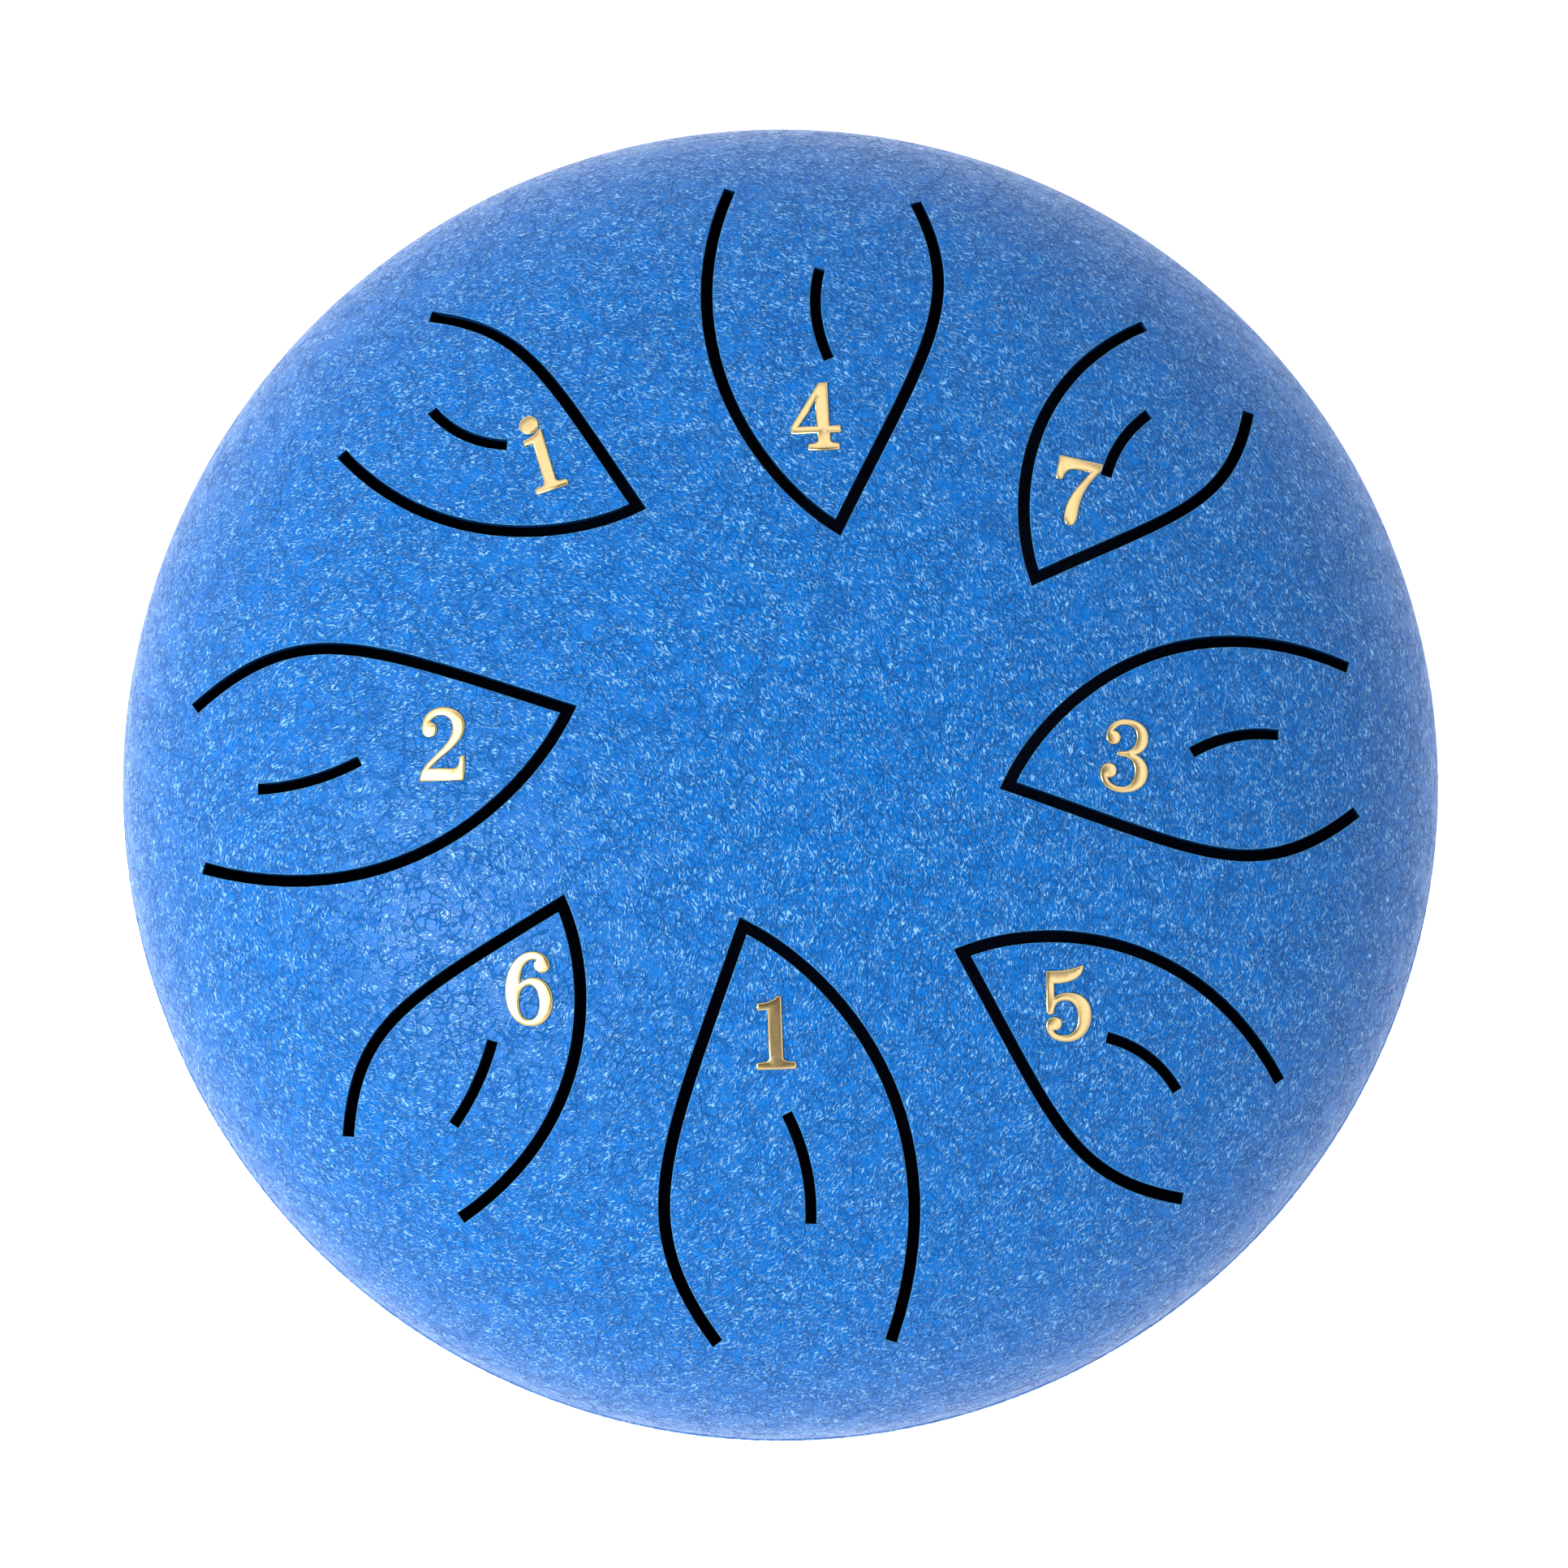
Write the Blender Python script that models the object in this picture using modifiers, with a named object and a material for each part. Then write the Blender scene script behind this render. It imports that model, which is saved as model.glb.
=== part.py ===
"""Steel tongue drum, 152 mm across.

Two pressed steel bowls are welded rim to rim. Eight leaf-shaped tongues are sawn into the upper bowl,
each free along two curved slits that meet at its tip and held at its root near the rim. Each tongue has
a short curved relief slit and carries a gold stick-on numeral. The lower bowl has a round sound hole and
stands on three push-in rubber feet.

Frame: metres, +Z up, origin on the ground plane under the drum's centre, +Y towards tongue 4.
"""
import math
from collections import namedtuple

import bmesh
import bpy
from mathutils import Matrix, Vector

MM = 0.001

# Driving dimensions of the two bowls
RIM_RADIUS = 76 * MM
SHEET = 1.8 * MM
DOME_RISE = 42 * MM
DOME_POWER = 2.2
BOWL_DEPTH = 40 * MM
BOWL_POWER = 3.0
GROUND_CLEARANCE = 5 * MM
RIM_HEIGHT = BOWL_DEPTH + GROUND_CLEARANCE
SEAM_HALF_HEIGHT = 0.5 * MM
GAP = 0.3 * MM
SOUND_HOLE_RADIUS = 12 * MM

# Sawn slits
SLIT = 1.3 * MM
VEIN = 1.2 * MM
LEFT_EDGE = ((0.131, 0.192), (0.517, 0.473))
RIGHT_EDGE = ((0.508, -0.268), (0.648, -0.385))

# Rubber feet
FOOT_CIRCLE = 42 * MM
FOOT_ANGLES = (90, 210, 330)
FOOT_PAD_RADIUS = 7 * MM
FOOT_NECK_RADIUS = 3 * MM
FOOT_BARB_RADIUS = 4.4 * MM

# Gold numerals
GLYPH_UNIT = 0.083 * MM
NUMERAL_THICKNESS = 0.3 * MM
NUMERAL_LIFT = 0.1 * MM
HIGH_SCALE = (0.86, 0.93)
HIGH_BASELINE = -5
DOT_CENTRE = (-8, 55)
DOT_RADIUS = 13.5

# Fineness of the facets
TURN_STEPS = 64
DOME_RINGS = 12
LINER_RINGS = 8
EDGE_STEPS = 12
DIGIT_STEPS = 4

# A tongue: its tip and the direction it points from tip to root (plan view), its length, half its width
# at the root, how far the left slit reaches beyond the right one (a share of the length), its relief slit
# (distance from the tip, offset to the left, length, slant, bow), and the centre and slant of its numeral.
# Lengths in millimetres, angles in degrees.
Tongue = namedtuple("Tongue", "name glyph tip heading length half_root sweep vein numeral slant")
TONGUES = (
    Tongue("1", "1", (-4.07, -19.90), -81.5, 45.7, 9.6, 0.028, (26.9, 2.7, 12.2, 4, 0.067), (-0.4, -31.8), 2),
    Tongue("2", "2", (-23.25, 3.98), -170.6, 42.7, 9.0, 0.021, (29.8, 2.0, 12.0, 3, 0.058), (-37.1, 0.0), 0),
    Tongue("3", "3", (24.99, -4.39), 9.8, 39.9, 8.1, 0.024, (26.0, 1.5, 10.3, 4, 0.079), (37.7, -1.2), 0),
    Tongue("4", "4", (6.35, 24.12), 92.2, 40.3, 10.5, 0.028, (25.1, 1.1, 11.1, 3, 0.083), (4.0, 36.5), 3),
    Tongue("5", "5", (19.95, -22.73), -32.9, 36.4, 8.5, 0.028, (23.3, 1.7, 9.8, -2, 0.104), (31.6, -28.6), 0),
    Tongue("6", "6", (-24.04, -17.28), -121.2, 34.5, 7.8, 0.018, (21.7, 1.9, 10.1, 5, 0.046), (-27.7, -27.0), 0),
    Tongue("7", "7", (28.13, 18.77), 53.7, 32.0, 7.6, 0.011, (19.0, 1.3, 9.2, 3, 0.082), (33.1, 28.5), -11.6),
    Tongue("1_high", "1", (-15.73, 26.62), 151.3, 32.7, 9.4, 0.012, (21.3, 1.2, 9.7, 1, 0.105), (-26.1, 32.3), 19),
)

# Outlines of the numerals, in glyph units. A contour is its starting point and then its segments: one
# point for a straight segment, three for a cubic curve.
DIGITS = {
    "1": (
        ((-25, 44), ((-14, 44), (-5, 46), (2, 53)), ((7, 53),), ((8, 51),), ((8, -30),),
         ((9, -34), (14, -35.5), (24, -35.5)), ((25.5, -41),), ((23.5, -45.5),), ((-27.5, -45.5),),
         ((-29, -40),), ((-28, -35.5),), ((-18, -35.5), (-12, -34), (-11.5, -29.5)), ((-11.5, 34),),
         ((-25.5, 34),)),
    ),
    "2": (
        ((-30, 25), ((-32, 45), (-16, 54.5), (-2, 54.5)), ((18, 54.5), (30, 43), (30, 28)),
         ((30, 14), (19, 4), (8, -5)), ((-2, -12.5), (-11, -19), (-18, -27)), ((14, -27.5),),
         ((21, -27.5), (21.5, -22), (23, -11)), ((30, -11),), ((30.5, -31),), ((28.5, -44.5),),
         ((-33.5, -44.5),), ((-31, -32),), ((-26, -21), (-14, -12), (-2, -0.5)),
         ((8, 9), (12.5, 18), (12.5, 26)), ((12.5, 38), (4, 43), (-4, 43)),
         ((-10, 43), (-15, 40), (-18, 35)), ((-12, 34), (-9, 30), (-9, 25)),
         ((-9, 18), (-13.5, 14), (-19.5, 14)), ((-26, 14), (-30, 18), (-30, 25))),
    ),
    "3": (
        ((-23.5, 29), ((-23.5, 44), (-10, 53), (4, 53)), ((24, 53), (36, 43), (36, 28)),
         ((36, 16), (29, 9), (19, 5.5)), ((30, 1.5), (35, -8), (35, -18)),
         ((35, -35), (20, -45.5), (0, -45.5)), ((-18, -45.5), (-32, -36), (-32, -21)),
         ((-32, -12), (-27, -6), (-19, -6)), ((-12, -6), (-8.5, -11), (-8.5, -16)),
         ((-8.5, -22), (-13, -26.5), (-21, -26)), ((-19, -33), (-10, -37), (-2, -37)),
         ((10, -37), (16.5, -28), (16.5, -16)), ((16.5, -3), (9, 2.5), (-4, 3)),
         ((-10, 4), (-10, 10), (-4, 10)), ((0, 10),), ((12, 10), (19.5, 18), (19.5, 30)),
         ((19.5, 39), (14, 45), (4, 45)), ((-4, 45), (-9, 42), (-12, 37.5)),
         ((-6, 37), (-3, 32), (-3, 28)), ((-3, 22), (-7.5, 18.5), (-13, 18.5)),
         ((-19, 18.5), (-23.5, 23), (-23.5, 29))),
    ),
    "4": (
        ((5.5, 53.5), ((18, 53.5),), ((17, -10),), ((31.5, -10),), ((31.5, -21),), ((17, -21),),
         ((17, -30),), ((17, -34), (21, -35.5), (28.5, -35.5)), ((28.5, -45.5),), ((-14, -45.5),),
         ((-14, -35.5),), ((-6, -35.5), (-0.5, -34), (-0.5, -30)), ((-0.5, -21),), ((-35.5, -21),),
         ((-35, -10),)),
        ((-0.5, 26.5), ((-24, -10),), ((-0.5, -10),)),
    ),
    "5": (
        ((-33.5, 50), ((-15, 49.5), (2, 51.5), (16, 58.5)), ((19, 59), (18.5, 54), (16.5, 48)),
         ((12, 38), (-4, 32.5), (-21, 32)), ((-20, 14.5),), ((-14, 19.5), (-7, 21), (1, 21)),
         ((20, 21), (33.5, 9), (33.5, -11)), ((33.5, -32), (20, -45.5), (1, -45.5)),
         ((-17, -45.5), (-29, -36), (-29, -23)), ((-29, -16), (-24, -12), (-17.5, -12)),
         ((-11, -12), (-6.5, -16), (-6.5, -21.5)), ((-6.5, -27), (-10.5, -30.5), (-17.5, -30.5)),
         ((-14, -35), (-9, -36.5), (-4, -36.5)), ((8, -36.5), (15, -29), (15, -16)),
         ((15, -1), (8, 10), (-4, 10)), ((-14, 10), (-18, 4), (-18.5, -3)),
         ((-19, -8.5), (-21, -9.5), (-24, -9.5)), ((-27, -9.5), (-29, -8.5), (-29.5, -5))),
    ),
    "6": (
        ((8, 55.5), ((22, 55.5), (31.5, 46), (31.5, 36.5)), ((31.5, 30), (26.5, 26), (20.5, 26)),
         ((14, 26), (9, 31), (9, 36)), ((9, 40), (11, 42), (13, 44)), ((2, 45), (-8, 38), (-10, 14)),
         ((-4, 19), (2, 20.5), (8, 20.5)), ((24, 20.5), (33.5, 6), (33.5, -10)),
         ((33.5, -31), (20, -45), (2, -45)), ((-19, -45), (-31.5, -26), (-31.5, 0)),
         ((-31.5, 30), (-14, 55.5), (8, 55.5))),
        ((2.5, 10), ((11, 10), (14.5, -2), (14.5, -13)), ((14.5, -26), (9, -35.5), (0, -35.5)),
         ((-9, -35.5), (-13, -26), (-13, -14)), ((-13, -1), (-7, 10), (2.5, 10))),
    ),
    "7": (
        ((-34, 49), ((27.5, 50),), ((27.5, 41),), ((20, 31), (9, 14), (4.5, -5)),
         ((2, -16), (2, -26), (1.5, -33)), ((0.5, -42), (-2, -48.5), (-8, -48.5)),
         ((-14, -48.5), (-17, -43), (-17, -35)), ((-17, -15), (-9, 4), (12.5, 34)), ((2, 34),),
         ((-16, 34), (-22, 31), (-25.5, 14.5)), ((-34.5, 14.5),)),
    ),
}


# ---------------------------------------------------------------- scene, materials and collections

def clear_scene():
    for obj in list(bpy.data.objects):
        bpy.data.objects.remove(obj, do_unlink=True)


def new_collection(name):
    collection = bpy.data.collections.new(name)
    bpy.context.scene.collection.children.link(collection)
    return collection


def new_material(name, colour, roughness, metallic):
    material = bpy.data.materials.new(name)
    material.use_nodes = True
    shader = material.node_tree.nodes["Principled BSDF"]
    shader.inputs["Base Color"].default_value = (*colour, 1)
    shader.inputs["Roughness"].default_value = roughness
    shader.inputs["Metallic"].default_value = metallic
    material.diffuse_color = (*colour, 1)
    return material


# ------------------------------------------------------------------------------ shape of the bowls

def bowl_height(radius, rise, power):
    """Height of a bowl's outer face above its rim plane, on a superellipse that stands upright there."""
    return rise * math.sqrt(max(0.0, 1 - (radius / RIM_RADIUS) ** power))


def bowl_normal(radius, height, rise, power):
    """Outward normal (radial, axial) of the outer face."""
    radial = power * (radius / RIM_RADIUS) ** (power - 1) / RIM_RADIUS
    axial = 2 * height / rise ** 2
    size = math.hypot(radial, axial)
    return radial / size, axial / size


def bowl_curve(rise, power, start_radius, rings, inset):
    """Points (radius, height) from start_radius out to the rim's cut edge, moved inwards by inset."""
    first = math.asin((start_radius / RIM_RADIUS) ** (power / 2))
    last = math.acos((SEAM_HALF_HEIGHT + GAP) / rise)
    points = []
    for i in range(rings + 1):
        angle = first + (last - first) * i / rings
        radius, height = RIM_RADIUS * math.sin(angle) ** (2 / power), rise * math.cos(angle)
        radial, axial = bowl_normal(radius, height, rise, power)
        points.append((radius - inset * radial, height - inset * axial))
    points[0] = (start_radius, points[0][1])
    points[-1] = (points[-1][0], SEAM_HALF_HEIGHT + GAP)
    return points


def dome_profile():
    """Upper bowl: down the outer face from the crown, and back up the inner face."""
    outer = bowl_curve(DOME_RISE, DOME_POWER, 0, DOME_RINGS, 0)
    inner = bowl_curve(DOME_RISE, DOME_POWER, 0, LINER_RINGS, SHEET)
    return outer + inner[::-1]


def lower_profile():
    """Lower bowl: down its outer face from the rim to the sound hole, and back up the inner face."""
    outer = bowl_curve(BOWL_DEPTH, BOWL_POWER, SOUND_HOLE_RADIUS, DOME_RINGS, 0)
    inner = bowl_curve(BOWL_DEPTH, BOWL_POWER, SOUND_HOLE_RADIUS, LINER_RINGS, SHEET)
    return [(radius, -height) for radius, height in outer[::-1] + inner]


def seam_profile():
    return [
        (RIM_RADIUS - SHEET, SEAM_HALF_HEIGHT),
        (RIM_RADIUS - 0.1 * MM, SEAM_HALF_HEIGHT),
        (RIM_RADIUS, 0),
        (RIM_RADIUS - 0.1 * MM, -SEAM_HALF_HEIGHT),
        (RIM_RADIUS - SHEET, -SEAM_HALF_HEIGHT),
    ]


def turned(name, profile, closed, collection, steps=TURN_STEPS):
    """A turned piece: the profile (radius, height) swept once round its Z axis."""
    count = len(profile)
    edges = [(i, (i + 1) % count) for i in range(count if closed else count - 1)]
    mesh = bpy.data.meshes.new(name)
    mesh.from_pydata([(radius, 0, height) for radius, height in profile], edges, [])
    obj = bpy.data.objects.new(name, mesh)
    collection.objects.link(obj)
    screw = obj.modifiers.new("turn", "SCREW")
    screw.steps = screw.render_steps = steps
    screw.use_merge_vertices = True
    screw.merge_threshold = 0.01 * MM
    screw.use_smooth_shade = True
    return obj


# ------------------------------------------------------------------------------------ flat outlines

def cubic(start, control_1, control_2, end, steps):
    """Points after start along a cubic curve."""
    points = []
    for i in range(1, steps + 1):
        t = i / steps
        weights = ((1 - t) ** 3, 3 * t * (1 - t) ** 2, 3 * t * t * (1 - t), t ** 3)
        corners = (start, control_1, control_2, end)
        points.append(sum((w * Vector(c) for w, c in zip(weights, corners)), Vector((0, 0))))
    return points


def slab(name, contours, half_depth, matrix, collection):
    """A closed mesh from flat contours, extruded half_depth to each side of its plane."""
    curve = bpy.data.curves.new(name, "CURVE")
    curve.dimensions = "2D"
    curve.fill_mode = "BOTH"
    curve.extrude = half_depth
    for contour in contours:
        spline = curve.splines.new("POLY")
        spline.points.add(len(contour) - 1)
        for point, (x, y) in zip(spline.points, contour):
            point.co = (x, y, 0, 1)
        spline.use_cyclic_u = True
    source = bpy.data.objects.new(name, curve)
    collection.objects.link(source)
    source.matrix_world = matrix
    bpy.context.view_layer.update()
    evaluated = source.evaluated_get(bpy.context.evaluated_depsgraph_get())
    mesh = bpy.data.meshes.new_from_object(evaluated)
    shape = bmesh.new()
    shape.from_mesh(mesh)
    bmesh.ops.remove_doubles(shape, verts=shape.verts, dist=0.001 * MM)
    bmesh.ops.recalc_face_normals(shape, faces=shape.faces)
    shape.to_mesh(mesh)
    shape.free()
    bpy.data.objects.remove(source)
    bpy.data.curves.remove(curve)
    obj = bpy.data.objects.new(name, mesh)
    collection.objects.link(obj)
    obj.matrix_world = matrix
    return obj


def tongue_axes(tongue):
    """The tip, and the unit vectors outwards and to the left, in plan."""
    heading = math.radians(tongue.heading)
    out = Vector((math.cos(heading), math.sin(heading)))
    return Vector(tongue.tip) * MM, out, Vector((-out.y, out.x))


def slit_edge(tongue, side, offset):
    """One slit's centre line from tip to root, moved sideways by offset away from the tongue."""
    tip, out, left = tongue_axes(tongue)
    length = tongue.length * MM
    controls = LEFT_EDGE if side > 0 else RIGHT_EDGE
    end = (1 + tongue.sweep * side, side * tongue.half_root / tongue.length)
    local = [Vector((0, 0))] + cubic((0, 0), *controls, end, EDGE_STEPS)
    line = [tip + (out * p.x + left * p.y) * length for p in local]
    moved = []
    for i, point in enumerate(line):
        ahead, behind = line[min(i + 1, EDGE_STEPS)], line[max(i - 1, 0)]
        along = (ahead - behind).normalized()
        moved.append(point + Vector((-along.y, along.x)) * side * offset)
    return moved


def mitre(tongue, offset):
    """Where the two slits' edges meet at the tip, for edges moved away from the tongue by offset."""
    starts = [slit_edge(tongue, side, offset)[:2] for side in (1, -1)]
    (a, a_next), (b, b_next) = starts
    along_a, along_b = a_next - a, b_next - b
    determinant = along_a.x * along_b.y - along_a.y * along_b.x
    gap = b - a
    return a + along_a * ((gap.x * along_b.y - gap.y * along_b.x) / determinant)


def tongue_outline(tongue, root_gap):
    """The tongue's own outline, held back from the root line by root_gap."""
    left_edge = slit_edge(tongue, 1, -SLIT / 2)[1:]
    right_edge = slit_edge(tongue, -1, -SLIT / 2)[1:]
    chord = (left_edge[-1] - right_edge[-1]).normalized()
    inwards = Vector((-chord.y, chord.x)) * root_gap
    left_edge[-1] = left_edge[-1] + inwards
    right_edge[-1] = right_edge[-1] + inwards
    return [mitre(tongue, -SLIT / 2)] + left_edge + right_edge[::-1]


def opening_outline(tongue):
    """The opening in the upper bowl: the tongue, its two slits, and the root line between them."""
    left_in, right_in = root_ends(tongue)
    left_edge = slit_edge(tongue, 1, SLIT / 2)
    right_edge = slit_edge(tongue, -1, SLIT / 2)
    return [mitre(tongue, SLIT / 2)] + left_edge + [left_in, right_in] + right_edge[::-1]


def root_ends(tongue):
    """Inner corners of the two slits' ends: the root line runs between them."""
    return slit_edge(tongue, 1, -SLIT / 2)[-1], slit_edge(tongue, -1, -SLIT / 2)[-1]


def vein_outline(tongue):
    """The relief slit: an arc of even width that bows to the left."""
    tip, out, left = tongue_axes(tongue)
    distance, shift, length, slant, bow = tongue.vein
    turn = math.radians(slant)
    along = out * math.cos(turn) + left * math.sin(turn)
    across = Vector((-along.y, along.x))
    centre = tip + (out * distance + left * shift) * MM
    steps = EDGE_STEPS // 2
    sides = []
    for side in (1, -1):
        line = []
        for i in range(steps + 1):
            s = 2 * i / steps - 1
            rise = bow * length * (1 - s * s - 2 / 3)
            facing = (across + along * 4 * bow * s).normalized()
            line.append(centre + (along * s * length / 2 + across * rise) * MM + facing * side * VEIN / 2)
        sides.append(line)
    return sides[0] + sides[1][::-1]


# ---------------------------------------------------------------------------------- placing on the dome

def dome_frame(x, y):
    """Point on the dome's outer face over (x, y), with axes right, up (towards +Y) and out."""
    radius = math.hypot(x, y)
    height = bowl_height(radius, DOME_RISE, DOME_POWER)
    radial, axial = bowl_normal(radius, height, DOME_RISE, DOME_POWER)
    normal = Vector((radial * x / radius, radial * y / radius, axial))
    up = (Vector((0, 1, 0)) - normal * normal.y).normalized()
    right = up.cross(normal)
    point = Vector((x, y, RIM_HEIGHT + height))
    return point, right, up, normal


def frame_matrix(point, right, up, normal):
    rotation = Matrix((right, up, normal)).transposed().to_4x4()
    return Matrix.Translation(point) @ rotation


def middle_of_sheet(point):
    """Point at half the sheet's thickness over a point in plan."""
    surface, _, _, normal = dome_frame(point.x, point.y)
    return surface - normal * SHEET / 2


def hinge_empty(tongue, collection):
    """An empty on the tongue's root line, with its X axis along it, from the right end to the left."""
    left_end, right_end = (middle_of_sheet(p) for p in root_ends(tongue))
    along = (left_end - right_end).normalized()
    side = Vector((0, 0, 1)).cross(along).normalized()
    empty = bpy.data.objects.new("root_line_" + tongue.name, None)
    empty.empty_display_size = 5 * MM
    collection.objects.link(empty)
    empty.matrix_world = frame_matrix((left_end + right_end) / 2, along, side, along.cross(side))
    return empty


def hang_on(obj, parent):
    """Parents obj without moving it."""
    bpy.context.view_layer.update()
    obj.parent = parent
    obj.matrix_parent_inverse = parent.matrix_world.inverted()


# --------------------------------------------------------------------------------------------- pieces

def boolean(obj, operation, cutter):
    modifier = obj.modifiers.new(cutter.name, "BOOLEAN")
    modifier.operation = operation
    modifier.object = cutter
    modifier.solver = "EXACT"


def as_cutter(obj):
    obj.hide_render = True
    obj.display_type = "WIRE"
    return obj


def plan_cutter(name, outline, cutters):
    """An upright prism that passes through the whole dome."""
    middle = Matrix.Translation((0, 0, RIM_HEIGHT + DOME_RISE / 2))
    return as_cutter(slab(name, [outline], DOME_RISE, middle, cutters))


def make_dome(name, parts, material):
    obj = turned(name, dome_profile(), False, parts)
    obj.location = (0, 0, RIM_HEIGHT)
    obj.data.materials.append(material)
    return obj


def make_top_shell(parts, cutters, coat):
    shell = make_dome("top_shell", parts, coat)
    for tongue in TONGUES:
        opening = plan_cutter("opening_" + tongue.name, opening_outline(tongue), cutters)
        boolean(shell, "DIFFERENCE", opening)


def make_tongue(tongue, empty, parts, cutters, coat):
    piece = make_dome("tongue_" + tongue.name, parts, coat)
    outline = plan_cutter("outline_" + tongue.name, tongue_outline(tongue, GAP), cutters)
    vein = plan_cutter("vein_" + tongue.name, vein_outline(tongue), cutters)
    boolean(piece, "INTERSECT", outline)
    boolean(piece, "DIFFERENCE", vein)
    hang_on(piece, empty)


def digit_contours(glyph, scale, rise):
    """The glyph's contours in metres, stretched by scale (x, y) and raised by rise glyph units."""
    contours = []
    for start, *segments in DIGITS[glyph]:
        points = [Vector(start)]
        for segment in segments:
            if len(segment) == 1:
                points.append(Vector(segment[0]))
            else:
                points += cubic(points[-1], *segment, DIGIT_STEPS)
        if (points[-1] - points[0]).length < 0.1:
            points.pop()
        contours.append([
            (p.x * scale[0] * GLYPH_UNIT, (p.y * scale[1] + rise) * GLYPH_UNIT) for p in points
        ])
    return contours


def dot_contour():
    steps = 6 * DIGIT_STEPS
    centre = Vector(DOT_CENTRE)
    turns = [2 * math.pi * i / steps for i in range(steps)]
    return [
        tuple((centre + Vector((math.cos(turn), math.sin(turn))) * DOT_RADIUS) * GLYPH_UNIT)
        for turn in turns
    ]


def make_numeral(tongue, empty, parts, gold):
    x, y = tongue.numeral
    point, right, up, normal = dome_frame(x * MM, y * MM)
    point += normal * (NUMERAL_LIFT + NUMERAL_THICKNESS / 2)
    matrix = frame_matrix(point, right, up, normal) @ Matrix.Rotation(math.radians(tongue.slant), 4, "Z")
    high = tongue.name == "1_high"
    shape = digit_contours(tongue.glyph, HIGH_SCALE if high else (1, 1), HIGH_BASELINE if high else 0)
    pieces = {"numeral_" + tongue.name: shape}
    if high:
        pieces["numeral_1_high_dot"] = [dot_contour()]
    for name, contours in pieces.items():
        numeral = slab(name, contours, NUMERAL_THICKNESS / 2, matrix, parts)
        numeral.data.materials.append(gold)
        hang_on(numeral, empty)


def foot_matrix(angle):
    """Foot's frame at its seat on the lower bowl: +Z into the drum, square to the sheet."""
    turn = math.radians(angle)
    height = bowl_height(FOOT_CIRCLE, BOWL_DEPTH, BOWL_POWER)
    radial, axial = bowl_normal(FOOT_CIRCLE, height, BOWL_DEPTH, BOWL_POWER)
    outward = Vector((math.cos(turn), math.sin(turn), 0))
    inward_normal = Vector((0, 0, axial)) - outward * radial
    side = Vector((-math.sin(turn), math.cos(turn), 0))
    seat = outward * FOOT_CIRCLE + Vector((0, 0, RIM_HEIGHT - height))
    return frame_matrix(seat, side.cross(inward_normal), side, inward_normal)


def foot_profile():
    """From the tip of the barb inside the drum, down over the neck and the pad to the ground."""
    return [
        (0, SHEET + 5 * MM),
        (1.6 * MM, SHEET + 4.8 * MM),
        (2.6 * MM, SHEET + 4 * MM),
        (FOOT_BARB_RADIUS, SHEET + 1.2 * MM),
        (FOOT_BARB_RADIUS, SHEET + 0.5 * MM),
        (FOOT_NECK_RADIUS, SHEET + 0.5 * MM),
        (FOOT_NECK_RADIUS, -GAP),
        (FOOT_PAD_RADIUS - 0.5 * MM, -GAP),
        (FOOT_PAD_RADIUS, -GAP - 0.5 * MM),
        (FOOT_PAD_RADIUS - 0.4 * MM, -6 * MM),
        (FOOT_PAD_RADIUS - 1 * MM, -8 * MM),
        (0, -14 * MM),
    ]


def make_foot(number, angle, parts, ground, rubber):
    foot = turned(f"foot_{number}", foot_profile(), False, parts, 32)
    foot.matrix_world = foot_matrix(angle)
    foot.data.materials.append(rubber)
    boolean(foot, "DIFFERENCE", ground)


def make_ground_cutter(cutters):
    """A block under the ground plane, which trims the feet flat."""
    bpy.ops.mesh.primitive_cube_add(size=1, location=(0, 0, -10 * MM))
    block = bpy.context.object
    block.name = "ground_cutter"
    block.scale = (4 * RIM_RADIUS, 4 * RIM_RADIUS, 20 * MM)
    for owner in list(block.users_collection):
        owner.objects.unlink(block)
    cutters.objects.link(block)
    return as_cutter(block)


def make_bottom_shell(parts, cutters, coat):
    shell = turned("bottom_shell", lower_profile(), True, parts)
    shell.location = (0, 0, RIM_HEIGHT)
    shell.data.materials.append(coat)
    hole = FOOT_NECK_RADIUS + GAP
    for number, angle in enumerate(FOOT_ANGLES, 1):
        profile = [(0, 2 * SHEET), (hole, 2 * SHEET), (hole, -SHEET), (0, -SHEET)]
        cutter = as_cutter(turned(f"foot_hole_{number}", profile, False, cutters, 24))
        cutter.matrix_world = foot_matrix(angle)
        boolean(shell, "DIFFERENCE", cutter)


def make_weld_seam(parts, coat):
    seam = turned("weld_seam", seam_profile(), True, parts)
    seam.location = (0, 0, RIM_HEIGHT)
    seam.data.materials.append(coat)


def main():
    clear_scene()
    parts = new_collection("steel_tongue_drum")
    cutters = new_collection("cutters")
    coat = new_material("blue_coat", (0.012, 0.13, 0.55), 0.45, 0.3)
    gold = new_material("gold_foil", (0.85, 0.62, 0.27), 0.2, 1.0)
    rubber = new_material("black_rubber", (0.015, 0.015, 0.016), 0.75, 0.0)
    make_top_shell(parts, cutters, coat)
    make_bottom_shell(parts, cutters, coat)
    make_weld_seam(parts, coat)
    for tongue in TONGUES:
        empty = hinge_empty(tongue, parts)
        make_tongue(tongue, empty, parts, cutters, coat)
        make_numeral(tongue, empty, parts, gold)
    ground = make_ground_cutter(cutters)
    for number, angle in enumerate(FOOT_ANGLES, 1):
        make_foot(number, angle, parts, ground, rubber)


main()
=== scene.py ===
"""Looks of the steel tongue drum: pressed sheets with sawn slits, grained coat, gold numerals, feet."""
import math
from collections import namedtuple

import bmesh
import bpy
import numpy as np
from mathutils import Matrix, Vector
from mathutils.geometry import delaunay_2d_cdt


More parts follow.
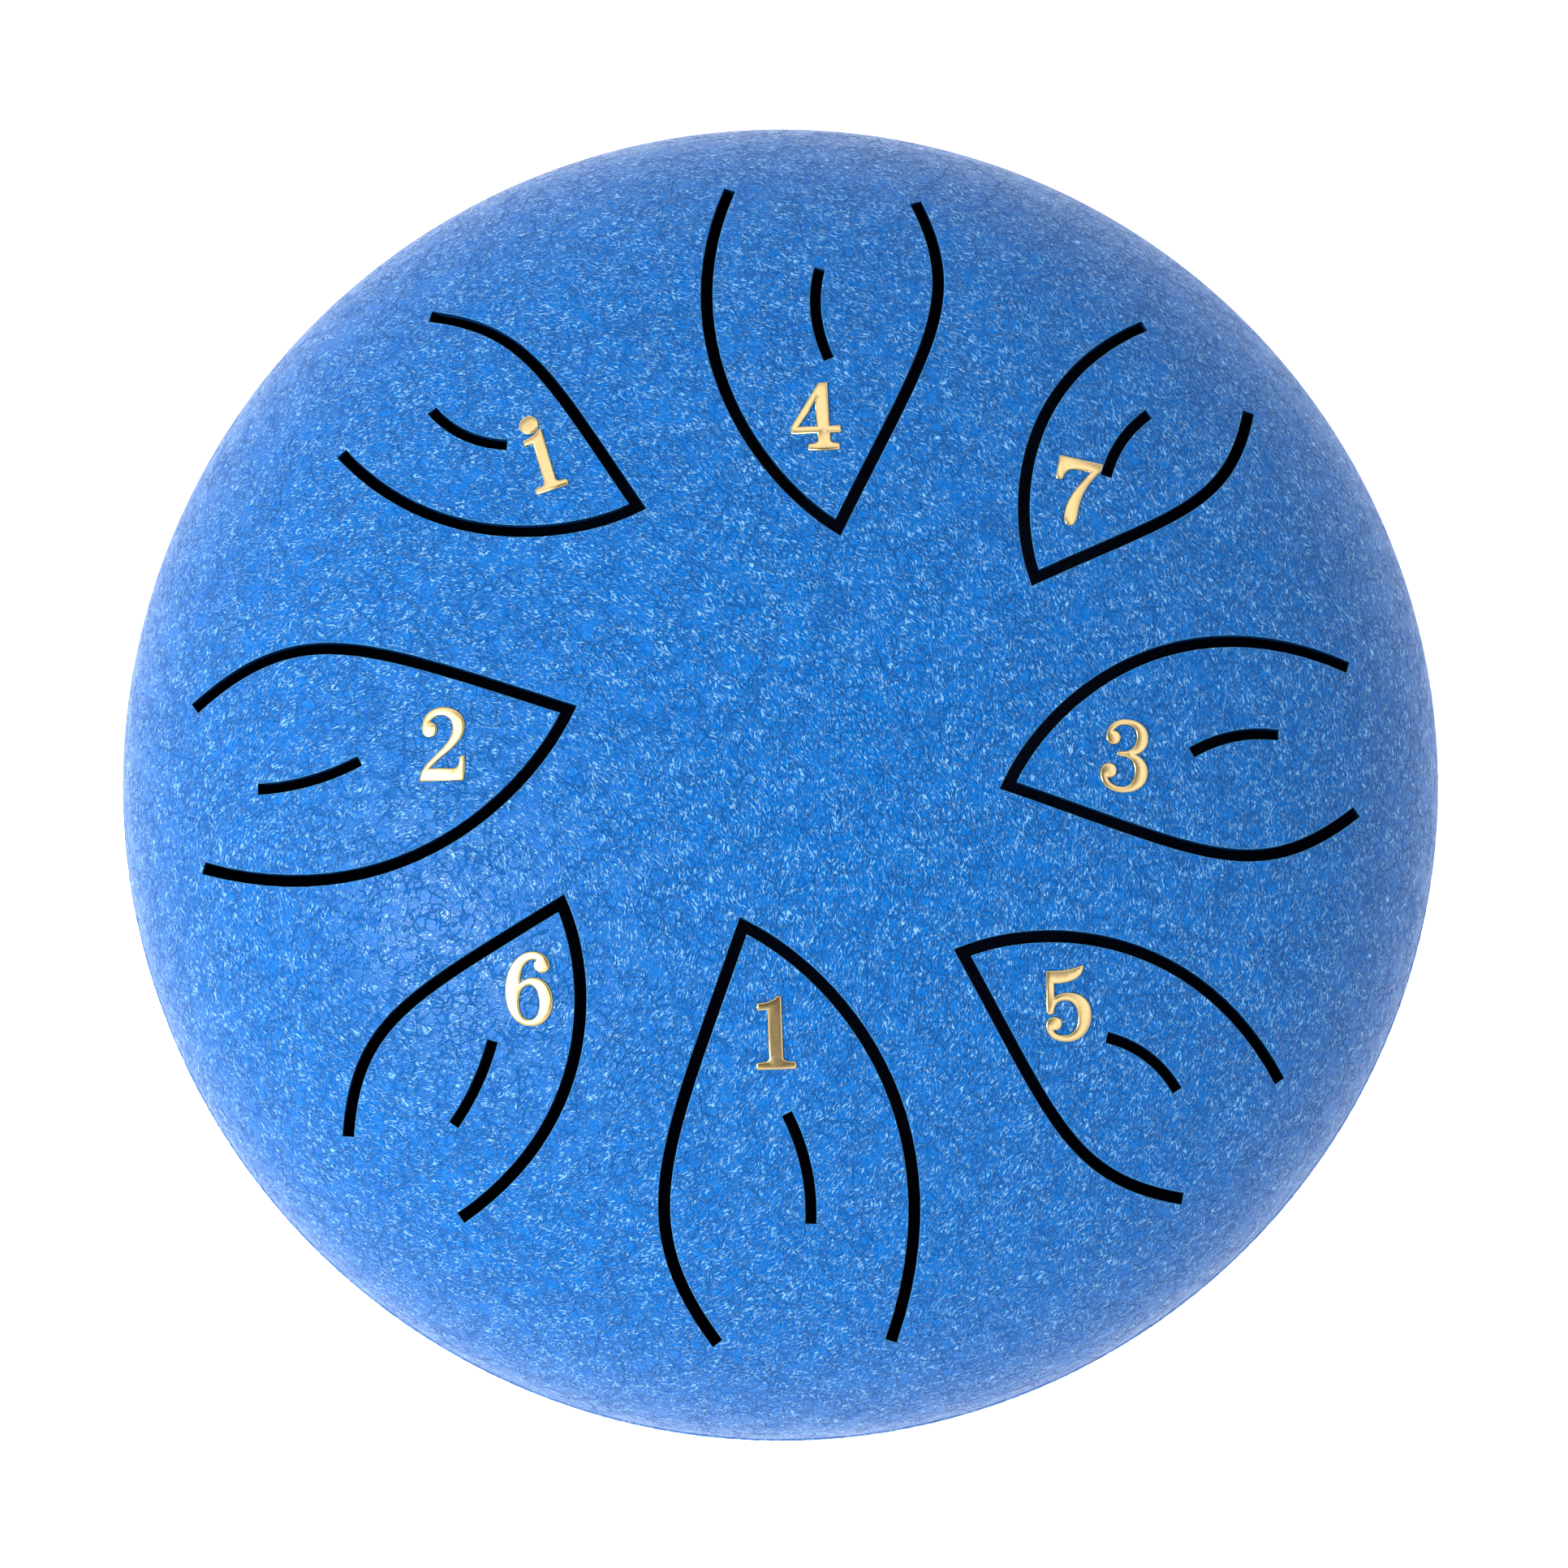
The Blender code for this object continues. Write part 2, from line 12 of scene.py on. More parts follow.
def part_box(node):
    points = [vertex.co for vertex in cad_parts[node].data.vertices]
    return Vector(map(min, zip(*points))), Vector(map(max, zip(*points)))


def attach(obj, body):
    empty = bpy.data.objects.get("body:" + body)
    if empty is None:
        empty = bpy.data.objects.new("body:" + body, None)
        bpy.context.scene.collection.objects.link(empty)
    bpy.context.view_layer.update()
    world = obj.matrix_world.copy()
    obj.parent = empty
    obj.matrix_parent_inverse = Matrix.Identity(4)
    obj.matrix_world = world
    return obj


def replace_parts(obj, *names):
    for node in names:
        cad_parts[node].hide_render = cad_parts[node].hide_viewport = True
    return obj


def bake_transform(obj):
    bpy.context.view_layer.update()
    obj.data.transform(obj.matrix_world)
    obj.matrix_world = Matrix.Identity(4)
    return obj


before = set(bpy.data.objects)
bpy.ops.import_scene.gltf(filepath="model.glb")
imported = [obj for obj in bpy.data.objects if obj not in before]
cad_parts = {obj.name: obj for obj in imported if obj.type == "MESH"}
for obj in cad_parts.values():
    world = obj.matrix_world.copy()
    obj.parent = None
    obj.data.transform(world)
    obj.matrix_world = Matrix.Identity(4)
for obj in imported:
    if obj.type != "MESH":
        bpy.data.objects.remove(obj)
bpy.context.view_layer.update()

MM = 0.001
BODY = "drum_body"

# Sizes read from the frame
SEAM_LOW, SEAM_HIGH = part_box("weld_seam")
_, SHELL_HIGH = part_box("top_shell")
RIM_RADIUS = (SEAM_HIGH.x - SEAM_LOW.x) / 2
RIM_HEIGHT = (SEAM_HIGH.z + SEAM_LOW.z) / 2
DOME_RISE = SHELL_HIGH.z - RIM_HEIGHT

# The design's own numbers, as in the CAD
BOWL_DEPTH = 40 * MM
DOME_POWER = 2.2
BOWL_POWER = 3.0
SHEET = 1.8 * MM
SLIT = 1.3 * MM
SOUND_HOLE_RADIUS = 12 * MM
VEIN = 1.2 * MM
LEFT_EDGE = ((0.131, 0.192), (0.517, 0.473))
RIGHT_EDGE = ((0.508, -0.268), (0.648, -0.385))
FOOT_CIRCLE = 42 * MM
FOOT_ANGLES = (90, 210, 330)
FOOT_PAD_RADIUS = 7 * MM
FOOT_NECK_RADIUS = 3 * MM
FOOT_BARB_RADIUS = 4.4 * MM
FOOT_ROUND = 0.3 * MM
SOLE_ROUND = 0.25 * MM
FOOT_SHARP = math.radians(50)
GLYPH_UNIT = 0.083 * MM

# The high 1 is smaller and lower than the others, to make room for its dot. In glyph units.
HIGH_SCALE = (0.86, 0.93)
HIGH_BASELINE = -5
DOT_CENTRE = (-8, 55)
DOT_RADIUS = 13.5

# Fineness of the shown meshes
GRID = 2.0 * MM
GLYPH_GRID = 0.7 * MM
RIM_STEPS = 256
EDGE_STEPS = 26
TIP_STEPS = 2
ROOT_STEPS = 10
VEIN_STEPS = 10
DIGIT_STEPS = 9
PROFILE_STEPS = 4001
SOUND_HOLE_STEPS = 96
NECK_STEPS = 32
FOOT_STEPS = 64
BORDER_MARGIN = 0.6
EDGE_ROUND = 0.14 * MM
SEAM_EDGE = 0.4 * MM
UPRIGHT_FROM = 0.88
BEND_FROM_TO = (0.02, 0.9)

# Weld bead round the rim
BEAD_HALF = 0.9 * MM
BEAD_RISE = 0.18 * MM
BEAD_RIPPLE = 0.012 * MM
BEAD_WAVES = 300
BEAD_SECOND_WAVE = (0.6, 0.61, 2)
BEAD_SUNK = 0.05 * MM
BEAD_STEPS = 9

# Colours of the finishes
# Deep blue of the low ground between the wrinkles: painted shade
COAT_TROUGH_SHADE = (0.000, 0.085, 0.360)
COAT_BLUE = (0.000, 0.162, 0.590)
# Lilac of the wrinkles' crests: the grain's own pale tone, with painted glints of the key light mixed in
COAT_LILAC_GLINT = (0.230, 0.540, 0.980)
# Dark blue laid in the creases: painted shade
COAT_CREASE_SHADE = (0.000, 0.090, 0.360)
# Pale teal round the corner of a slit: painted highlight
COAT_EDGE_HIGHLIGHT = (0.100, 0.420, 0.620)
# Dark blue down a slit's wall: painted shade
COAT_WALL_SHADE = (0.000, 0.055, 0.240)
# Inside of the bowls, seen only through the slits and the sound hole: dark, a painted shade
LINING_DEEP = (0.003, 0.012, 0.050)
LINING_BLUE = (0.004, 0.030, 0.130)
GOLD_DEEP = (0.90, 0.63, 0.27)
GOLD_LIGHT = (0.96, 0.74, 0.38)
RUBBER_BLACK = (0.010, 0.010, 0.011)
RUBBER_DUST = (0.030, 0.030, 0.032)
CARD_GREY = (0.93, 0.93, 0.93)
CARD_WHITE = (0.96, 0.96, 0.96)

# Finish of the blue coat: its gloss, and how much the creases and the sawn corners count, with painted shade
# in the creases and a painted highlight on the corners
COAT_SPECULAR = 0.16
COAT_ROUGHNESS = 0.34
STROKE_ROUGHNESS = 0.22
CREASE_DULLNESS = 0.2
COAT_RELIEF = 0.14 * MM
CREASE_RELIEF = 0.8
CREASE_SHADE_SHARE = 0.6
EDGE_HIGHLIGHT_SHARE = 0.7

# Grain of the blue coat, in millimetres. Each wrinkle size is its patch, length and width. Each crease
# net is its cell, its lines' width as a share of the cell, and their depth. The ramps take a noise from
# their first two values to 0 and 1, or to their last two.
WRINKLE_SIZES = ((1.0, 0.50, 0.15), (1.7, 0.70, 0.20))
# Point left of the middle where the key light's reflection falls: the wrinkles and their painted glints lie
# round it
HIGHLIGHT_CENTRE = (-38.0, -18.0, 0.0)
WRINKLE_STRAY = 0.45
PATCH_SPREAD = 90
CREASE_NETS = ((1.3, 0.10, 0.8), (3.2, 0.05, 1.0))
GRAIN_WOBBLE = 0.5
BODY_RAMP = (0.38, 0.54)
STROKE_RAMP = (0.575, 0.675)
MOTTLE_RAMP = (0.36, 0.46, 0.1, 1.0)
BRIGHT_RAMP = (0.35, 0.65, 0.3, 1.0)
WORN_RAMP = (0.35, 0.55, 0.2, 1.0)

# Sky brightness by the height of its direction, from 0 at the horizon to 1 overhead
SKY = (
    (0.0, 0.45), (0.5, 0.55), (0.62, 1.05), (0.7, 1.25),
    (0.776, 1.25), (0.812, 0.85), (0.866, 0.4), (1.0, 0.1),
)

# Soft boxes: azimuth and angle off the vertical in degrees, distance and size in metres, radiance
SOFT_BOXES = {
    "key_left": (203, 42, 1.0, (0.25, 0.25), 34),
    "broad_left": (196, 38, 1.02, (0.7, 0.7), 2.0),
}

# Floor card: its painted glow, none under the drum, lifts the drum's shadow. It rises from none to full
# between two radii in millimetres
PAINTED_GLOW_FROM_TO = (60, 80)
PAINTED_GLOW = 0.65
FLOOR_DROP = 0.1 * MM
FLOOR_REACH = 4.0

# The photograph's viewpoint
CAMERA_ELEVATION = 84.5
CAMERA_DISTANCE = 0.76
CAMERA_LENS = 150.6
CAMERA_SHIFT = (0.0023, -0.0024)

# Gold numerals: thin metal stickers with a rounded edge
STICKER = 0.26 * MM
STICKER_SUNK = 0.05 * MM
STICKER_EDGE = 0.2 * MM
STICKER_ROWS = 4
STICKER_CROWN = math.radians(7)
MITRE_LIMIT = 0.6
UNTANGLE_ROUNDS = 40
UNTANGLE_STEP = 0.05

# Tongues, in millimetres and degrees. half_root is half the root's width, and sweep how far its left
# end lies out beyond its middle, as a share of the length. vein gives the relief slit's distance from
# the tip, shift to the left, length, slant and bow. numeral and slant place and turn the sticker.
Tongue = namedtuple("Tongue", "name glyph tip heading length half_root sweep vein numeral slant")
TONGUES = (
    Tongue("1", "1", (-4.07, -19.90), -81.5, 45.7, 9.6, 0.028,
           (26.9, 2.7, 12.2, 4, 0.067), (-0.4, -31.8), 2),
    Tongue("2", "2", (-23.25, 3.98), -170.6, 42.7, 9.0, 0.021,
           (29.8, 2.0, 12.0, 3, 0.058), (-37.1, 0.0), 0),
    Tongue("3", "3", (24.99, -4.39), 9.8, 39.9, 8.1, 0.024,
           (26.0, 1.5, 10.3, 4, 0.079), (37.7, -1.2), 0),
    Tongue("4", "4", (6.35, 24.12), 92.2, 40.3, 10.5, 0.028,
           (25.1, 1.1, 11.1, 3, 0.083), (4.0, 36.5), 3),
    Tongue("5", "5", (19.95, -22.73), -32.9, 36.4, 8.5, 0.028,
           (23.3, 1.7, 9.8, -2, 0.104), (31.6, -28.6), 0),
    Tongue("6", "6", (-24.04, -17.28), -121.2, 34.5, 7.8, 0.018,
           (21.7, 1.9, 10.1, 5, 0.046), (-27.7, -27.0), 0),
    Tongue("7", "7", (28.13, 18.77), 53.7, 32.0, 7.6, 0.011,
           (19.0, 1.3, 9.2, 3, 0.082), (33.1, 28.5), -11.6),
    Tongue("1_high", "1", (-15.73, 26.62), 151.3, 32.7, 9.4, 0.012,
           (21.3, 1.2, 9.7, 1, 0.105), (-26.1, 32.3), 19),
)

# Outlines of the numerals, in glyph units. A contour is its starting point and then its segments: one
# point for a straight segment, three for a cubic curve.
DIGITS = {
    "1": (
        ((-25, 44), ((-14, 44), (-5, 46), (2, 53)), ((7, 53),), ((8, 51),), ((8, -30),),
         ((9, -34), (14, -35.5), (24, -35.5)), ((25.5, -41),), ((23.5, -45.5),), ((-27.5, -45.5),),
         ((-29, -40),), ((-28, -35.5),), ((-18, -35.5), (-12, -34), (-11.5, -29.5)), ((-11.5, 34),),
         ((-25.5, 34),)),
    ),
    "2": (
        ((-30, 25), ((-32, 45), (-16, 54.5), (-2, 54.5)), ((18, 54.5), (30, 43), (30, 28)),
         ((30, 14), (19, 4), (8, -5)), ((-2, -12.5), (-11, -19), (-18, -27)), ((14, -27.5),),
         ((21, -27.5), (21.5, -22), (23, -11)), ((30, -11),), ((30.5, -31),), ((28.5, -44.5),),
         ((-33.5, -44.5),), ((-31, -32),), ((-26, -21), (-14, -12), (-2, -0.5)),
         ((8, 9), (12.5, 18), (12.5, 26)), ((12.5, 38), (4, 43), (-4, 43)),
         ((-10, 43), (-15, 40), (-18, 35)), ((-12, 34), (-9, 30), (-9, 25)),
         ((-9, 18), (-13.5, 14), (-19.5, 14)), ((-26, 14), (-30, 18), (-30, 25))),
    ),
    "3": (
        ((-23.5, 29), ((-23.5, 44), (-10, 53), (4, 53)), ((24, 53), (36, 43), (36, 28)),
         ((36, 16), (29, 9), (19, 5.5)), ((30, 1.5), (35, -8), (35, -18)),
         ((35, -35), (20, -45.5), (0, -45.5)), ((-18, -45.5), (-32, -36), (-32, -21)),
         ((-32, -12), (-27, -6), (-19, -6)), ((-12, -6), (-8.5, -11), (-8.5, -16)),
         ((-8.5, -22), (-13, -26.5), (-21, -26)), ((-19, -33), (-10, -37), (-2, -37)),
         ((10, -37), (16.5, -28), (16.5, -16)), ((16.5, -3), (9, 2.5), (-4, 3)),
         ((-10, 4), (-10, 10), (-4, 10)), ((0, 10),), ((12, 10), (19.5, 18), (19.5, 30)),
         ((19.5, 39), (14, 45), (4, 45)), ((-4, 45), (-9, 42), (-12, 37.5)),
         ((-6, 37), (-3, 32), (-3, 28)), ((-3, 22), (-7.5, 18.5), (-13, 18.5)),
         ((-19, 18.5), (-23.5, 23), (-23.5, 29))),
    ),
    "4": (
        ((5.5, 53.5), ((18, 53.5),), ((17, -10),), ((31.5, -10),), ((31.5, -21),), ((17, -21),),
         ((17, -30),), ((17, -34), (21, -35.5), (28.5, -35.5)), ((28.5, -45.5),), ((-14, -45.5),),
         ((-14, -35.5),), ((-6, -35.5), (-0.5, -34), (-0.5, -30)), ((-0.5, -21),), ((-35.5, -21),),
         ((-35, -10),)),
        ((-0.5, 26.5), ((-24, -10),), ((-0.5, -10),)),
    ),
    "5": (
        ((-33.5, 50), ((-15, 49.5), (2, 51.5), (16, 58.5)), ((19, 59), (18.5, 54), (16.5, 48)),
         ((12, 38), (-4, 32.5), (-21, 32)), ((-20, 14.5),), ((-14, 19.5), (-7, 21), (1, 21)),
         ((20, 21), (33.5, 9), (33.5, -11)), ((33.5, -32), (20, -45.5), (1, -45.5)),
         ((-17, -45.5), (-29, -36), (-29, -23)), ((-29, -16), (-24, -12), (-17.5, -12)),
         ((-11, -12), (-6.5, -16), (-6.5, -21.5)), ((-6.5, -27), (-10.5, -30.5), (-17.5, -30.5)),
         ((-14, -35), (-9, -36.5), (-4, -36.5)), ((8, -36.5), (15, -29), (15, -16)),
         ((15, -1), (8, 10), (-4, 10)), ((-14, 10), (-18, 4), (-18.5, -3)),
         ((-19, -8.5), (-21, -9.5), (-24, -9.5)), ((-27, -9.5), (-29, -8.5), (-29.5, -5))),
    ),
    "6": (
        ((8, 55.5), ((22, 55.5), (31.5, 46), (31.5, 36.5)), ((31.5, 30), (26.5, 26), (20.5, 26)),
         ((14, 26), (9, 31), (9, 36)), ((9, 40), (11, 42), (13, 44)), ((2, 45), (-8, 38), (-10, 14)),
         ((-4, 19), (2, 20.5), (8, 20.5)), ((24, 20.5), (33.5, 6), (33.5, -10)),
         ((33.5, -31), (20, -45), (2, -45)), ((-19, -45), (-31.5, -26), (-31.5, 0)),
         ((-31.5, 30), (-14, 55.5), (8, 55.5))),
        ((2.5, 10), ((11, 10), (14.5, -2), (14.5, -13)), ((14.5, -26), (9, -35.5), (0, -35.5)),
         ((-9, -35.5), (-13, -26), (-13, -14)), ((-13, -1), (-7, 10), (2.5, 10))),
    ),
    "7": (
        ((-34, 49), ((27.5, 50),), ((27.5, 41),), ((20, 31), (9, 14), (4.5, -5)),
         ((2, -16), (2, -26), (1.5, -33)), ((0.5, -42), (-2, -48.5), (-8, -48.5)),
         ((-14, -48.5), (-17, -43), (-17, -35)), ((-17, -15), (-9, 4), (12.5, 34)), ((2, 34),),
         ((-16, 34), (-22, 31), (-25.5, 14.5)), ((-34.5, 14.5),)),
    ),
}


# ------------------------------------------------------------------------------ the two pressed bowls

class Bowl:
    """Outer face of a bowl: a superellipse turned about Z, which can be unrolled flat along its meridians."""

    def __init__(self, rise, power, side):
        self.rise, self.power, self.side = rise, power, side
        angle = np.linspace(0, math.pi / 2, PROFILE_STEPS)
        self.radius = RIM_RADIUS * np.sin(angle) ** (2 / power)
        self.height = rise * np.cos(angle)
        steps = np.hypot(np.diff(self.radius), np.diff(self.height))
        self.arc = np.concatenate([[0], np.cumsum(steps)])
        radial, axial = self.slope(self.radius, self.height)
        self.inner_radius = self.radius - SHEET * radial
        self.inner_height = self.height - SHEET * axial

    def slope(self, radius, height):
        """Outward normal (radial, axial)."""
        radial = self.power * (radius / RIM_RADIUS) ** (self.power - 1) / RIM_RADIUS
        axial = 2 * height / self.rise ** 2
        size = np.hypot(radial, axial)
        return radial / size, axial / size

    def unroll(self, plan):
        """Flat places of points given in plan."""
        radius = np.hypot(plan[:, 0], plan[:, 1])
        arc = np.interp(radius, self.radius, self.arc)
        return plan * (arc / np.maximum(radius, 1e-9))[:, None]

    def arc_at_height(self, height):
        return float(np.interp(-height, -self.height, self.arc))

    def polar(self, flat):
        arc = np.hypot(flat[:, 0], flat[:, 1])
        along = flat / np.maximum(arc, 1e-9)[:, None]
        radius = np.interp(arc, self.arc, self.radius)
        height = np.interp(arc, self.arc, self.height)
        return along, radius, height, *self.slope(radius, height)

    def outer(self, flat):
        """Points and outward normals on the outer face."""
        along, radius, height, radial, axial = self.polar(flat)
        points = np.column_stack([along * radius[:, None], RIM_HEIGHT + self.side * height])
        return points, np.column_stack([along * radial[:, None], self.side * axial])

    def inner(self, flat):
        """Points on the inner face straight under the outer ones, and square to them near the rim."""
        along, radius, _, radial, axial = self.polar(flat)
        share = np.clip((radius / RIM_RADIUS - UPRIGHT_FROM) / (1 - UPRIGHT_FROM), 0, 1)
        radius = radius - SHEET * radial * share ** 2 * (3 - 2 * share)
        height = np.interp(radius, self.inner_radius, self.inner_height)
        points = np.column_stack([along * radius[:, None], RIM_HEIGHT + self.side * height])
        return points, -np.column_stack([along * radial[:, None], self.side * axial])


DOME = Bowl(DOME_RISE, DOME_POWER, 1)
BASIN = Bowl(BOWL_DEPTH, BOWL_POWER, -1)


# ---------------------------------------------------------------------------------- outlines in plan

def cubic(start, control_1, control_2, end, steps):
    """Points after start along a cubic curve."""
    t = np.arange(1, steps + 1)[:, None] / steps
    corners = [np.array(c, float) for c in (start, control_1, control_2, end)]
    weights = ((1 - t) ** 3, 3 * t * (1 - t) ** 2, 3 * t * t * (1 - t), t ** 3)
    return sum(w * c for w, c in zip(weights, corners))


def directions(tongue):
    """Unit vectors outwards along the tongue, and to its left."""
    heading = math.radians(tongue.heading)
    out = np.array([math.cos(heading), math.sin(heading)])
    return out, np.array([-out[1], out[0]])


def slit_line(tongue, side):
    """One slit's centre line from tip to root, and the unit direction along it at each point."""
    out, left = directions(tongue)
    controls = LEFT_EDGE if side > 0 else RIGHT_EDGE
    end = (1 + tongue.sweep * side, side * tongue.half_root / tongue.length)
    local = np.vstack([[0, 0], cubic((0, 0), *controls, end, EDGE_STEPS)]) * tongue.length
    line = (np.array(tongue.tip) + local[:, :1] * out + local[:, 1:] * left) * MM
    along = np.gradient(line, axis=0)
    return line, along / np.linalg.norm(along, axis=1)[:, None]


def slit_edge(tongue, side, offset):
    """The slit's centre line moved sideways by offset, away from the tongue."""
    line, along = slit_line(tongue, side)
    return line + np.column_stack([-along[:, 1], along[:, 0]]) * side * offset


def mitre(tongue, offset):
    """Where the two slits' edges meet at the tip."""
    (a, a_next), (b, b_next) = (slit_edge(tongue, side, offset)[:2] for side in (1, -1))
    along_a, along_b = a_next - a, b_next - b
    cross = along_a[0] * along_b[1] - along_a[1] * along_b[0]
    gap = b - a
    return a + along_a * (gap[0] * along_b[1] - gap[1] * along_b[0]) / cross


def root_corner(tongue, side, inset):
    """Inner corner of a slit's square end. Its inset place lies inside the sheet, off the corner."""
    _, along = slit_line(tongue, side)
    return slit_edge(tongue, side, -SLIT / 2 - inset)[-1] + along[-1] * inset


def root_line(tongue, inset):
    """Points between the two root corners, left to right, without them."""
    left, right = (root_corner(tongue, side, inset) for side in (1, -1))
    share = np.arange(1, ROOT_STEPS)[:, None] / ROOT_STEPS
    return left + (right - left) * share


class Loop:
    """A closed outline: its sheet edge, its inset place inside the sheet, and which segments carry a wall."""

    def __init__(self, edge, inset, wall=None):
        self.edge, self.inset = np.array(edge), np.array(inset)
        self.wall = [True] * len(edge) if wall is None else wall


def tongue_loop(tongue):
    """The tongue's outline. Its root line carries no wall, because the sheet goes on there."""
    rows = []
    for inset in (0, EDGE_ROUND):
        sides = {side: slit_edge(tongue, side, -SLIT / 2 - inset)[TIP_STEPS:-1] for side in (1, -1)}
        corners = {side: root_corner(tongue, side, inset) for side in (1, -1)}
        rows.append(np.vstack([
            mitre(tongue, -SLIT / 2 - inset), sides[1], corners[1],
            root_line(tongue, EDGE_ROUND), corners[-1], sides[-1][::-1],
        ]))
    first = EDGE_STEPS + 1 - TIP_STEPS
    wall = [not first <= i < first + ROOT_STEPS for i in range(len(rows[0]))]
    return Loop(*rows, wall)


def opening_loop(tongue):
    """The opening in the upper bowl, with the square ends of both slits."""
    rows = []
    for inset in (0, EDGE_ROUND):
        sides, ends = {}, {}
        for side in (1, -1):
            edge = slit_edge(tongue, side, SLIT / 2 + inset)
            _, along = slit_line(tongue, side)
            sides[side], ends[side] = edge[1:-1], edge[-1] + along[-1] * inset
        corners = {side: root_corner(tongue, side, inset) for side in (1, -1)}
        rows.append(np.vstack([
            mitre(tongue, SLIT / 2 + inset), sides[1], ends[1], corners[1],
            root_line(tongue, EDGE_ROUND), corners[-1], ends[-1], sides[-1][::-1],
        ]))
    first = EDGE_STEPS + 1
    wall = [not first <= i < first + ROOT_STEPS for i in range(len(rows[0]))]
    return Loop(*rows, wall)


def vein_loop(tongue):
    """The relief slit: an arc of even width that bows to the left."""
    out, left = directions(tongue)
    distance, shift, length, slant, bow = tongue.vein
    turn = math.radians(slant)
    along = out * math.cos(turn) + left * math.sin(turn)
    across = np.array([-along[1], along[0]])
    centre = np.array(tongue.tip) + out * distance + left * shift
    rows = []
    for inset in (0, EDGE_ROUND / MM):
        s = np.linspace(-1, 1, VEIN_STEPS + 1)[:, None]
        facing = unit(across + along * 4 * bow * s)
        line = centre + along * s * length / 2 + across * bow * length * (1 - s * s - 2 / 3)
        line[[0, -1]] += np.column_stack([facing[:, 1], -facing[:, 0]])[[0, -1]] * ((-inset,), (inset,))
        half = facing * (VEIN / MM / 2 + inset)
        rows.append(np.vstack([line + half, (line - half)[::-1]]) * MM)
    return Loop(*rows)


def ring_loop(centre, radius, steps, inwards):
    """A round loop. inwards is 1 where the sheet lies inside it, -1 where it lies outside."""
    turn = np.linspace(0, 2 * math.pi, steps, endpoint=False)
    spoke = np.column_stack([np.cos(turn), np.sin(turn)])
    return Loop(centre + spoke * radius, centre + spoke * (radius - inwards * EDGE_ROUND))


def unrolled(bowl, loop):
    return Loop(bowl.unroll(loop.edge), bowl.unroll(loop.inset), loop.wall)


# ------------------------------------------------------------------------------------ sheet meshes

def inside(points, polygon):
    """Which points lie inside the polygon."""
    x, y = points[:, :1], points[:, 1:]
    ax, ay = polygon[:, 0], polygon[:, 1]
    bx, by = np.roll(ax, -1), np.roll(ay, -1)
    crosses = (ay > y) != (by > y)
    rise = np.where(by == ay, 1, by - ay)
    return (crosses & (x < (bx - ax) * (y - ay) / rise + ax)).sum(axis=1) % 2 == 1


def in_sheet(points, outline, holes):
    kept = inside(points, outline.inset)
    for hole in holes:
        kept &= ~inside(points, hole.inset)
    return kept


def ring_grid(reach, grid):
    """Points on rings about the origin, a grid step apart, out to reach."""
    rings = [np.zeros((1, 2))]
    for i in range(1, int(reach / grid) + 1):
        count = max(6, round(2 * math.pi * i))
        turn = (np.arange(count) + 0.5 * (i % 2)) * 2 * math.pi / count
        rings.append(np.column_stack([np.cos(turn), np.sin(turn)]) * grid * i)
    return np.vstack(rings)


def filled(outline, holes, grid=GRID):
    """Flat points and triangles of the sheet: the loops' points first, then a grid between them."""
    loops = [outline, *holes]
    border = np.vstack([loop.inset for loop in loops])
    points = ring_grid(np.hypot(*outline.inset.T).max(), grid)
    points = points[in_sheet(points, outline, holes)]
    near = np.array([((border - p) ** 2).sum(axis=1).min() for p in points])
    flat = np.vstack([border, points[near > (BORDER_MARGIN * grid) ** 2]])
    edges, first = [], 0
    for loop in loops:
        count = len(loop.inset)
        edges += [(first + i, first + (i + 1) % count) for i in range(count)]
        first += count
    result = delaunay_2d_cdt([Vector(p) for p in flat / MM], edges, [], 0, 1e-6)
    triangles = np.array([result[3][v][0] for face in result[2] for v in face]).reshape(-1, 3)
    middles = flat[triangles].mean(axis=1)
    triangles = triangles[in_sheet(middles, outline, holes)]
    a, b, c = (flat[triangles[:, i]] for i in range(3))
    turn = (b - a)[:, 0] * (c - a)[:, 1] - (b - a)[:, 1] * (c - a)[:, 0]
    triangles[turn < 0] = triangles[turn < 0][:, ::-1]
    return flat, triangles


def unit(rows):
    return rows / np.maximum(np.linalg.norm(rows, axis=1), 1e-12)[:, None]


def edge_rows(bowl, loop):
    """Rows of points and normals over a sheet's edge, from its outer face round the corner to its inner."""
    top, normal = bowl.outer(loop.inset)
    corner, _ = bowl.outer(loop.edge)
    under, _ = bowl.inner(loop.edge)
    bottom, inner_normal = bowl.inner(loop.inset)
    down = unit(under - corner)
    over = corner - top
    away = unit(over - (over * down).sum(axis=1)[:, None] * down)
    low = corner + down * EDGE_ROUND
    high = under - down * EDGE_ROUND
    centre = top + down * EDGE_ROUND
    middle = centre + math.sqrt(0.5) * ((top - centre) + (low - centre))
    return [(top, normal), (middle, unit(normal + away)), (low, away), (high, away), (bottom, inner_normal)]


